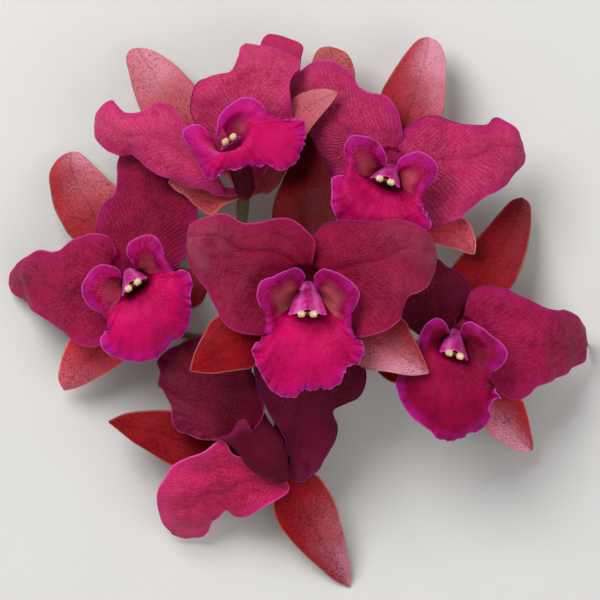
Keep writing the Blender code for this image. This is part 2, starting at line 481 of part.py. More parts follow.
def sheet(name, grid, thick, tip=False):
    """Triangulated sheet from a grid of points, thickened to both sides."""
    rows, cols = grid.shape[0], grid.shape[1]
    vertices = [p for row in grid[:rows - 1] for p in row]
    last = [grid[-1, 0]] if tip else list(grid[-1])
    vertices += last
    faces = []
    for i in range(rows - 1):
        for j in range(cols - 1):
            a, b = i * cols + j, i * cols + j + 1
            if tip and i == rows - 2:
                faces.append((a, b, (rows - 1) * cols))
                continue
            c, d = a + cols, b + cols
            if (i + j) % 2:
                faces += [(a, b, d), (a, d, c)]
            else:
                faces += [(a, b, c), (b, d, c)]
    thing = new_object(name, vertices, faces)
    shell = thing.modifiers.new("thick", "SOLIDIFY")
    shell.thickness = thick
    shell.offset = 0
    return outward(evaluated(thing))


def seat_disc(name, centre, axis, radius, deep, sides=12):
    """Short round seat across a bloom's axis."""
    mesh = bpy.data.meshes.new(name)
    work = bmesh.new()
    bmesh.ops.create_cone(work, cap_ends=True, cap_tris=False, segments=sides,
                          radius1=radius, radius2=radius, depth=deep)
    work.to_mesh(mesh)
    work.free()
    thing = bpy.data.objects.new(name, mesh)
    HEAD.objects.link(thing)
    side = unit(np.cross(axis, (0.3, 1.0, 0.2)))
    turn = np.column_stack([side, np.cross(axis, side), axis])
    for vertex in mesh.vertices:
        vertex.co = turn @ np.array(vertex.co) + centre
    mesh.update()
    return thing


def fuse(name, base, extras):
    """Join solids into one body and drop the extras."""
    group = bpy.data.collections.new(name + "_parts")
    for extra in extras:
        group.objects.link(extra)
    union = base.modifiers.new("fuse", "BOOLEAN")
    union.operation = "UNION"
    union.operand_type = "COLLECTION"
    union.collection = group
    union.solver = "MANIFOLD"
    evaluated(base)
    for extra in extras:
        bpy.data.objects.remove(extra)
    bpy.data.collections.remove(group)
    base.name = name
    return base


def finish(thing, kind):
    """Plain triangles, smooth shading and the material."""
    work = bmesh.new()
    work.from_mesh(thing.data)
    bmesh.ops.remove_doubles(work, verts=work.verts, dist=0.000002)
    bmesh.ops.dissolve_degenerate(work, edges=work.edges, dist=0.000002)
    bmesh.ops.triangulate(work, faces=work.faces)
    work.to_mesh(thing.data)
    work.free()
    thing.data.shade_smooth()
    thing.data.set_sharp_from_angle(angle=math.radians(50))
    material = bpy.data.materials.new(thing.name)
    material.use_nodes = True
    shader = material.node_tree.nodes["Principled BSDF"]
    shader.inputs["Base Color"].default_value = (*COLOURS[kind], 1)
    shader.inputs["Roughness"].default_value = 0.5
    shader.inputs["Metallic"].default_value = 0.0
    thing.data.materials.clear()
    thing.data.materials.append(material)


def blade_grid(blade, centre, axis, room, rows, cols, free=0.5):
    """Points of a petal or sepal, row by row from its root on the seat to its tip."""
    one = [place(p) for p in blade["one"]]
    two = [place(p) for p in blade["two"]]
    out = (one[0] + two[0]) / 2 - centre
    across = unit(one[0] - two[0])
    out = unit(out - across * out.dot(across))
    root = centre + out * SEAT_RADIUS * SEAT_ROOT
    half = SEAT_RADIUS * SEAT_HALF
    even = np.linspace(0, 1, rows + 1)
    steps = 0.45 * even + 0.275 * (1 - np.cos(math.pi * even))
    left = curve([root + across * half] + one, steps)
    right = curve([root - across * half] + two, steps)
    arch = np.interp(steps, np.linspace(0, 1, len(blade["arch"])), blade["arch"]) * MM
    wave = blade.get("wave", 0.25) * MM
    turns = blade.get("turns", 2.0)
    grid = np.empty((rows + 1, cols + 1, 3))
    for j, v in enumerate(np.linspace(0, 1, cols + 1)):
        grid[:, j] = left * (1 - v) + right * v
        rise = arch * 4 * v * (1 - v)
        edge = abs(2 * v - 1) ** 2.5
        fade = np.clip(steps * 3, 0, 1) * np.clip((1 - steps) * 4, 0, 1)
        ripple = np.sin(2 * math.pi * (turns * steps + EDGE_START[int(v >= 0.5)]))
        grid[:, j, 2] += rise + wave * edge * fade * ripple
    hold = np.clip((free - steps) / (0.4 * free), 0, 1)
    return leave_seat(grid, centre, axis, room, hold[:, None])


def blade_rooms(small):
    """Room round the seat for the sepals and for the petals, and the share held within it.

    A room is, in millimetres, how far above and below the seat's middle a blade may be, how
    fast those two bounds open with reach, and from which reach on they open steeply, and how.
    """
    rise, free = (2, 0.2) if small else (0, 0.5)
    return (0.2, 0.2, rise, 0.3, 7.5, 1.4), (0.3, 0.1, 0.25 + rise, 0, 6.5, 2.6), free


def leave_seat(grid, centre, axis, room, hold):
    """Hold a blade near its seat's plane at first, clear of the lip's tube and the ovary."""
    offset = grid - centre
    height = offset @ axis
    flat = offset - height[..., None] * axis
    reach = np.linalg.norm(flat, axis=-1) / MM
    above, below, rise, fall, start, steep = room
    near, far = np.clip(reach - 3, 0, None), np.clip(reach - start, 0, None)
    top = above + rise * near + steep * far
    low = -below - fall * near - 0.6 * steep * far
    free = height / MM
    level = (free + top - np.sqrt((free - top) ** 2 + 0.2)) / 2
    level = (level + low + np.sqrt((level - low) ** 2 + 0.2)) / 2
    level = level * hold + free * (1 - hold)
    return centre + flat + level[..., None] * MM * axis


def lip_frame(bloom, axis):
    """Directions down and across the lip's mouth, and the way the mouth looks."""
    down = unit(bloom["down"])
    look = np.array([0, 0, 1.0]) if abs(down[2]) < 0.5 else axis
    look = np.asarray(bloom.get("look", look))
    look = unit(look - down * look.dot(down))
    return down, np.cross(look, down), look


def lip_rim(bloom, steps):
    """Points of the lip's rim, their shares of its length and their turns round the mouth."""
    first, second, third = bloom["rim"]
    points = [place(p) for p in first + second + third]
    run = np.cumsum([0] + [np.linalg.norm(b - a) for a, b in zip(points, points[1:])])
    run = run / run[-1]
    even = np.linspace(0, 1, steps + 1)
    marks = (0, run[len(first) - 1], run[len(first) + len(second) - 1], 1)
    around = np.interp(even, LOBE_SHARES, marks)
    turns = bloom.get("turns", LOBE_TURNS)
    angle = np.radians(np.interp(even, LOBE_SHARES, turns) + bloom.get("twist", 0))
    return curve(points, around), around, angle


def lip_knots(bloom, centre, axis, steps):
    """Rings of points that the lip runs through, from its claw by tube and throat to its rim."""
    rim, around, angle = lip_rim(bloom, steps)
    down, left, look = lip_frame(bloom, axis)
    cosine, sine = np.cos(angle)[:, None], np.sin(angle)[:, None]
    claw_axis, radius, lift = bloom.get("claw", (axis, CLAW_RADIUS / MM, 0))
    claw_axis = unit(claw_axis)
    claw_down = unit(down - claw_axis * down.dot(claw_axis))
    claw_left = np.cross(claw_axis, claw_down)
    narrow = (angle * bloom.get("wrap", CLAW_WRAP))[:, None]
    claw = centre + axis * lift * MM
    claw = claw + radius * MM * (claw_down * np.cos(narrow) + claw_left * np.sin(narrow))
    wide, front, back = (value * UNIT for value in bloom["mouth"])
    reach = np.where(cosine > 0, front, back)
    middle = place(bloom["throat"]) + look * (cosine - 1) * 0.5 * bloom["dip"] * MM
    throat = middle + down * cosine * reach + left * sine * wide
    tube = claw * 0.55 + throat * 0.45 + (throat - middle) * bloom.get("waist", LIP_WAIST)
    lobe = np.clip(np.cos(angle * 0.95), 0, 1)[:, None]
    side_swell, lip_swell = bloom["swell"]
    swell = (side_swell * (1 - lobe) + lip_swell * lobe) * MM * 0.7
    shoulder = throat * 0.42 + rim * 0.58 + np.array([0, 0, 1.0]) * swell
    return np.stack([claw, tube, throat, shoulder, rim]), around, angle


def lip_grid(bloom, centre, axis, steps, rings):
    """Points of the lip, ring by ring, with the middle lobe's rim waved."""
    knots, around, angle = lip_knots(bloom, centre, axis, steps)
    at = np.linspace(0, 1, rings + 1)
    grid = np.stack([curve(knots[:, k], at) for k in range(steps + 1)], axis=1)
    for _ in range(LIP_EASING):
        eased = (grid[1:-1, :-2] + grid[1:-1, 2:]) / 2
        grid[1:-1, 1:-1] = grid[1:-1, 1:-1] * 0.5 + eased * 0.5
    frill = bloom["frill"] * MM * np.clip((at - 0.62) / 0.38, 0, 1) ** 1.5
    beat = np.sin(around * 2 * math.pi * 9) * np.clip(np.cos(angle * 1.1), 0, 1)
    grid[:, :, 2] += frill[:, None] * beat[None, :]
    return grid


def rod_of_rings(name, rings):
    """Closed solid through rings of as many points each."""
    sides, last = len(rings[0]), len(rings) - 1
    vertices = [p for ring in rings for p in ring]
    faces = [tuple(range(sides - 1, -1, -1)), tuple(range(last * sides, (last + 1) * sides))]
    for i in range(last):
        for k in range(sides):
            a, b = i * sides + k, i * sides + (k + 1) % sides
            faces.append((a, b, b + sides, a + sides))
    return outward(new_object(name, vertices, faces))


def column_solid(name, bloom, centre, axis):
    """Column: a rod that widens to a hooded tip, rounded on top and hollow beneath."""
    tip = place(bloom["tip"])
    down, across, look = lip_frame(bloom, axis)
    half, deep = bloom["hood"][0] * MM, bloom["hood"][1] * MM
    along = unit(tip - centre)
    up = unit(np.cross(across, along))
    if up.dot(look - down) < 0:
        up = -up
    rings = []
    for s in COLUMN_STATIONS:
        grow = s ** bloom.get("flare", COLUMN_FLARE)
        width = COLUMN_ROOT * (1 - grow) + half * grow
        height = COLUMN_ROOT * (1 - grow) + deep * grow
        if s == 1.0:
            width, height = width * COLUMN_END[0], height * COLUMN_END[1]
        spot = centre + (tip - centre) * s
        ring = []
        for k in range(COLUMN_SIDES):
            turn = 2 * math.pi * k / COLUMN_SIDES
            lift = math.sin(turn) * (1.0 if math.sin(turn) > 0 else COLUMN_BELLY)
            ring.append(spot + across * width * math.cos(turn) + up * height * lift)
        rings.append(ring)
    return rod_of_rings(name, rings)


def pollen_solid(name, bloom):
    """Two pollen caps side by side on a thin bridge, just over the column's tip."""
    apart, height = bloom["pollen"]
    down, across, look = lip_frame(bloom, unit(bloom["axis"]))
    spot = place((*bloom["tip"][:2], height)) - down * POLLEN_BACK
    spot = spot + look * (bloom["hood"][1] * MM + POLLEN * 0.55)
    caps = []
    for side in (-1, 1):
        mesh = bpy.data.meshes.new(name)
        work = bmesh.new()
        bmesh.ops.create_uvsphere(work, u_segments=6, v_segments=5, radius=POLLEN)
        work.to_mesh(mesh)
        work.free()
        cap = bpy.data.objects.new(name + "_cap", mesh)
        HEAD.objects.link(cap)
        centre = spot + across * side * apart * UNIT
        for vertex in mesh.vertices:
            vertex.co = np.array(vertex.co) * (1, 1, 0.8) + centre
        caps.append(cap)
    bridge = seat_disc(name, spot - np.array([0, 0, POLLEN * 0.25]), np.array([0.0, 0, 1]),
                       POLLEN * 0.7, POLLEN * 0.5, sides=6)
    stretch = 1 + apart * UNIT / POLLEN
    for vertex in bridge.data.vertices:
        offset = np.array(vertex.co) - spot
        offset = offset + across * offset.dot(across) * (stretch - 1)
        vertex.co = spot + offset
    return fuse(name, bridge, caps)


def tube(name, knots, radii, sides=9, per=3):
    """Round rod through knots with a radius at each knot."""
    count = (len(knots) - 1) * per
    at = np.linspace(0, 1, count + 1)
    knots = np.asarray(knots, float)
    path = curve(knots, at)
    steps = np.linalg.norm(np.diff(knots, axis=0), axis=1)
    marks = np.concatenate([[0], np.cumsum(steps)]) / steps.sum()
    radius = np.interp(at, marks, radii)
    tangent = np.gradient(path, axis=0)
    side = unit(np.cross(tangent[0], (0.13, 0.21, 1.0)))
    rings = []
    for k in range(count + 1):
        along = unit(tangent[k])
        side = unit(side - along * side.dot(along))
        other = np.cross(along, side)
        turns = [2 * math.pi * j / sides for j in range(sides)]
        rings.append([path[k] + radius[k] * (side * math.cos(turn) + other * math.sin(turn))
                      for turn in turns])
    return rod_of_rings(name, rings)


def build_bloom(name, bloom):
    axis = unit(bloom["axis"])
    seat = place(bloom["seat"])
    step = SEAT_DEEP + GAP
    small = name == "rear"
    rows, cols = (SMALL_ROWS, SMALL_COLS) if small else (PETAL_ROWS, PETAL_COLS)
    sepal_room, petal_room, free = blade_rooms(small)
    back = seat - axis * step
    sepals = [sheet("blade", blade_grid(b, back, axis, sepal_room, SEPAL_ROWS, SEPAL_COLS, free),
                    SEPAL_THICK, tip=True) for b in bloom["sepals"]]
    disc = seat_disc("disc", back, axis, SEAT_RADIUS, SEAT_DEEP)
    finish(fuse(name + "_sepals", disc, sepals), "sepals")
    petals = [sheet("blade", blade_grid(b, seat, axis, petal_room, rows, cols, free),
                    PETAL_THICK, tip=True) for b in bloom["petals"]]
    disc = seat_disc("disc", seat, axis, SEAT_RADIUS, SEAT_DEEP)
    finish(fuse(name + "_petals", disc, petals), "petals")
    root = seat + axis * (SEAT_DEEP / 2 + GAP + LIP_THICK / 2)
    steps, rings = (SMALL_STEPS, SMALL_RINGS) if small else (LIP_STEPS, LIP_RINGS)
    lip = sheet(name + "_lip", lip_grid(bloom, root, axis, steps, rings), LIP_THICK)
    finish(lip, "lip")
    lift = COLUMN_LIFT + bloom.get("claw", (0, 0, 0))[2]
    finish(column_solid(name + "_column", bloom, root + axis * lift * MM, axis), "column")
    finish(pollen_solid(name + "_pollen", bloom), "pollen")


def build_stalk():
    knots = [place(p) for p in STALK]
    main = tube("stalk", knots, [STALK_RADIUS * share for share in (1, 0.95, 1, 1.3)], per=3)
    extras = []
    for name, path in PEDICELS.items():
        bloom = BLOOMS[name]
        axis = unit(bloom["axis"])
        end = place(bloom["seat"]) - axis * (1.5 * SEAT_DEEP + 2 * GAP)
        run = [place(p) for p in path] + [end - axis * 7 * MM, end]
        radii = [PEDICEL_RADIUS * 1.2] + [PEDICEL_RADIUS] * (len(path) - 1)
        radii += [OVARY_RADIUS, OVARY_RADIUS * 0.95]
        extras.append(tube("pedicel", run, radii, sides=7, per=2))
    finish(fuse("stalk", main, extras), "stalk")


for bloom_name, bloom_data in BLOOMS.items():
    build_bloom(bloom_name, bloom_data)
build_stalk()
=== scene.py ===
"""Cut flower head of a cattleya orchid, seen from above on a pale floor."""
import math

import bmesh
import bpy
import mathutils
import numpy as np
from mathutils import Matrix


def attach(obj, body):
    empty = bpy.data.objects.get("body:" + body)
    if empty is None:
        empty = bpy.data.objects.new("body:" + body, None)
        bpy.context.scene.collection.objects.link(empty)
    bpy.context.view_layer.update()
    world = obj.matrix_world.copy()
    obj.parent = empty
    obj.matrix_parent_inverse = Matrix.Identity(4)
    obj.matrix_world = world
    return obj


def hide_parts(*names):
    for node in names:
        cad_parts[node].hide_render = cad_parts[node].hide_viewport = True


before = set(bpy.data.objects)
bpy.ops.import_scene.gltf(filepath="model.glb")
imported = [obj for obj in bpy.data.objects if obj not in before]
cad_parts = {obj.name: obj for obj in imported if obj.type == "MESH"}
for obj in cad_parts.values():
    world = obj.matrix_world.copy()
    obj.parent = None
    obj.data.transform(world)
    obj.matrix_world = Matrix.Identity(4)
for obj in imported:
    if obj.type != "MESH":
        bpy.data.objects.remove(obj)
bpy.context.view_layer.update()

UNIT = 0.3226e-3            # one grid unit, from a bloom 80 mm across
MM = 0.001
GRID_X, GRID_Y = 298.5, 311.85   # grid point over the origin
LIP_THICK = 0.7e-3
GAP = 0.35e-3               # air between two nodes of a bloom
SEAT_RADIUS = 2.9e-3        # disc that a ring of petals or sepals grows from
SEAT_DEEP = 1.5e-3
CLAW_RADIUS = 3.3e-3        # root of the lip, round the column's root
COLUMN_ROOT = 1.7e-3
COLUMN_FLARE = 1.1          # how late the column widens to its hood
SEAT_ROOT = 0.45            # share of the seat's radius where a blade's root line is
SEAT_HALF = 0.62            # half the width of that root line, as a share too
EDGE_START = (0.15, 0.55)   # where the ripple of a blade's two margins starts, in turns
COLUMN_LIFT = 0.6           # millimetres between the lip's claw and the column's root
LIP_WAIST = -0.12           # how far the tube bulges, as a share of the throat's radius
OVARY_RADIUS = 2.1e-3
PEDICEL_RADIUS = 1.5e-3
STALK_RADIUS = 2.8e-3
POLLEN = 1.15e-3            # half width of a pollen cap
LOBE_SHARES = (0, 0.25, 0.75, 1)         # of the rim's steps: side, middle, side
LOBE_TURNS = (-155, -80, 80, 155)        # degrees round the mouth where the lobes meet
CLAW_WRAP = 0.68            # share of those turns that the claw makes round the column
LIP_EASING = 6              # passes that even the lip's rings out between its ends
FLOOR_CLEAR = 0.02 * MM     # least height of any point over the surface
TUCK_TURNS = 5.0            # waves in a folded tuck of a lip's rim
LIP_STEPS, LIP_FINE_STEPS, LIP_FINE_RINGS = 34, 204, 42

PLEAT, CRISP = 5.2 * MM, 2.3 * MM       # lengths of the waves along the lip's rim

IMAGE = 600                 # grid units across the view
SENSOR = 36.0
CAMERA_HEIGHT = 6.0
FACE_HEIGHT = 0.035         # height over the floor that the view is sized at
FLOOR_SIZE = 3.0
WORLD_LIGHT = 0.34
LIGHTS = [("key", (-0.55, 0.75, 1.25), 0.9, 17.5), ("fill", (0.9, -0.5, 1.2), 1.4, 4.5)]

# Colours as sRGB 0 to 255: what all blooms share, then each bloom's changes, which partly paint in the
# light or shade on that bloom.
LOOK = {
    "petal": (152, 6, 48), "petal_dark": (120, 2, 34), "petal_deep": (92, 4, 28),
    "vein": (190, 38, 90), "flush": (178, 18, 86), "tip_sheen": (238, 150, 184),
    "rim": (214, 78, 148), "back": (128, 44, 66),
    "sepal": (136, 2, 18), "sepal_warm": (170, 10, 24),
    "sepal_vein": (184, 30, 46), "sepal_dark": (106, 0, 12), "sepal_sheen": (228, 150, 170),
    "sepal_rim": (226, 130, 118), "freckle": (96, 2, 14), "freckles": 0.6,
    "lip": (208, 2, 92), "lip_dark": (170, 0, 62), "lip_vein": (226, 22, 124),
    "lip_rim": (190, 22, 142), "lip_edge_highlight": (218, 100, 188), "ear": (140, 2, 52),
    "ear_dark": (104, 2, 32), "throat_side": (196, 84, 98), "throat_line": (216, 146, 136),
    "gullet_and_shade": (90, 6, 30), "gullet_line_and_shade": (136, 18, 52),
    "inner": 6.0, "sepal_back": (122, 84, 66),
    "tube": (92, 16, 36), "column": (232, 70, 176), "column_dark": (204, 40, 134),
    "column_highlight": (255, 136, 232), "hollow": (104, 6, 36),
}
# A bloom's three sepals as (painted lightness, painted waxy sheen, the margin it leans to) and two petals
# as (painted lightness, bend of the middle groove towards a margin, painted pale sheen at the tip);
# painted lightness paints in the light or shade that falls on each blade.
MANNERS = {
    "front": ((0.85, 0.1, 0), (1.0, 2.0, 0.35), (0.30, 0.0, 0), (0.86, -0.75, 0.5),
              (0.90, -0.3, 0.32)),
    "upper_left": ((1.0, 1.5, 0.15), (1.2, 0.7, 0), (1.0, 0.8, 0), (1.0, 0.1, 0.24),
                   (1.0, 0, 0.16)),
    "upper_right": ((1.05, 2.1, 0.35), (1.8, 0.6, 0), (0.30, 0, 0), (0.95, 0, 0.2),
                    (1.08, -0.25, 0.14)),
    "left": ((1.0, 1.45, 0.3), (1.55, 0.6, 0), (0.55, 0.1, 0), (0.72, 0, 0.0),
             (0.88, 0.05, 0.2)),
    "right": ((0.75, 0.6, 0.4), (1.45, 1.9, -0.4), (0.7, 0.1, 0), (0.43, 0, 0),
              (0.98, 0.05, 0.05)),
    "lower": ((0.72, 0.15, 0), (1.0, 1.5, 0.3), (0.5, 0.1, 0), (1.9, 0.3, 0.2),
              (0.46, 0, 0.0)),
    "rear": ((1.0, 0.6, 0), (1.0, 0.4, 0), (1.0, 0.4, 0), (1.0, 0, 0.1), (1.0, 0, 0.1)),
}
# Blooms differ partly as painted light and shade: the upper left and rear blooms are painted lighter, as
# in fuller light.
LOOKS = {
    "upper_left": {"petal": (200, 34, 92), "petal_dark": (168, 18, 68), "inner": 9.0,
                   "petal_deep": (136, 10, 50), "vein": (226, 84, 134), "flush": (198, 26, 116),
                   "sepal": (178, 56, 72), "sepal_warm": (196, 74, 78), "freckle": (132, 26, 44),
                   "lip": (212, 14, 98), "lip_dark": (186, 6, 74), "ear": (206, 22, 128),
                   "ear_dark": (176, 14, 96), "gullet_and_shade": (176, 20, 100),
                   "gullet_line_and_shade": (204, 62, 134), "hollow": (170, 34, 110)},
    "upper_right": {"petal": (190, 26, 86), "petal_dark": (152, 14, 58), "petal_deep": (112, 6, 38),
                    "vein": (216, 74, 128), "flush": (188, 24, 116), "sepal": (144, 18, 34),
                    "sepal_warm": (172, 36, 46), "lip": (192, 6, 86), "lip_dark": (158, 2, 60),
                    "throat_side": (198, 70, 92), "inner": 7.0, "throat_line": (234, 168, 156)},
    "left": {"petal": (166, 6, 58), "petal_dark": (124, 4, 34), "vein": (202, 40, 104),
             "flush": (190, 26, 112), "sepal": (144, 16, 30), "sepal_warm": (174, 34, 42),
             "throat_side": (184, 62, 84), "inner": 7.0, "throat_line": (226, 160, 144)},
    # The right bloom's darker lip and ears are partly painted shade under the front bloom.
    "right": {"petal": (168, 8, 62), "petal_dark": (126, 4, 36), "vein": (202, 42, 108),
              "flush": (182, 22, 104), "lip": (156, 2, 60), "lip_dark": (122, 0, 40),
              "lip_vein": (178, 14, 84),
              "ear": (124, 2, 46), "ear_dark": (92, 2, 24), "throat_side": (106, 20, 38),
              "throat_line": (160, 78, 84)},
    # The lower bloom's dark lip and ears are painted shade under the front bloom.
    "lower": {"petal": (158, 24, 74), "petal_dark": (118, 10, 42), "flush": (160, 30, 96),
              "lip": (112, 14, 42), "lip_dark": (88, 8, 28), "lip_vein": (140, 34, 66),
              "lip_rim": (124, 16, 66), "lip_edge_highlight": (168, 84, 116), "ear": (104, 12, 38),
              "ear_dark": (86, 8, 28), "tube": (90, 10, 34), "freckles": 0.75},
    "rear": {"petal": (200, 48, 104), "petal_dark": (164, 34, 78), "flush": (196, 44, 112),
             "back": (190, 44, 98), "sepal_back": (176, 76, 70),
             "sepal": (170, 54, 58), "sepal_warm": (192, 88, 78), "freckles": 0.75},
}

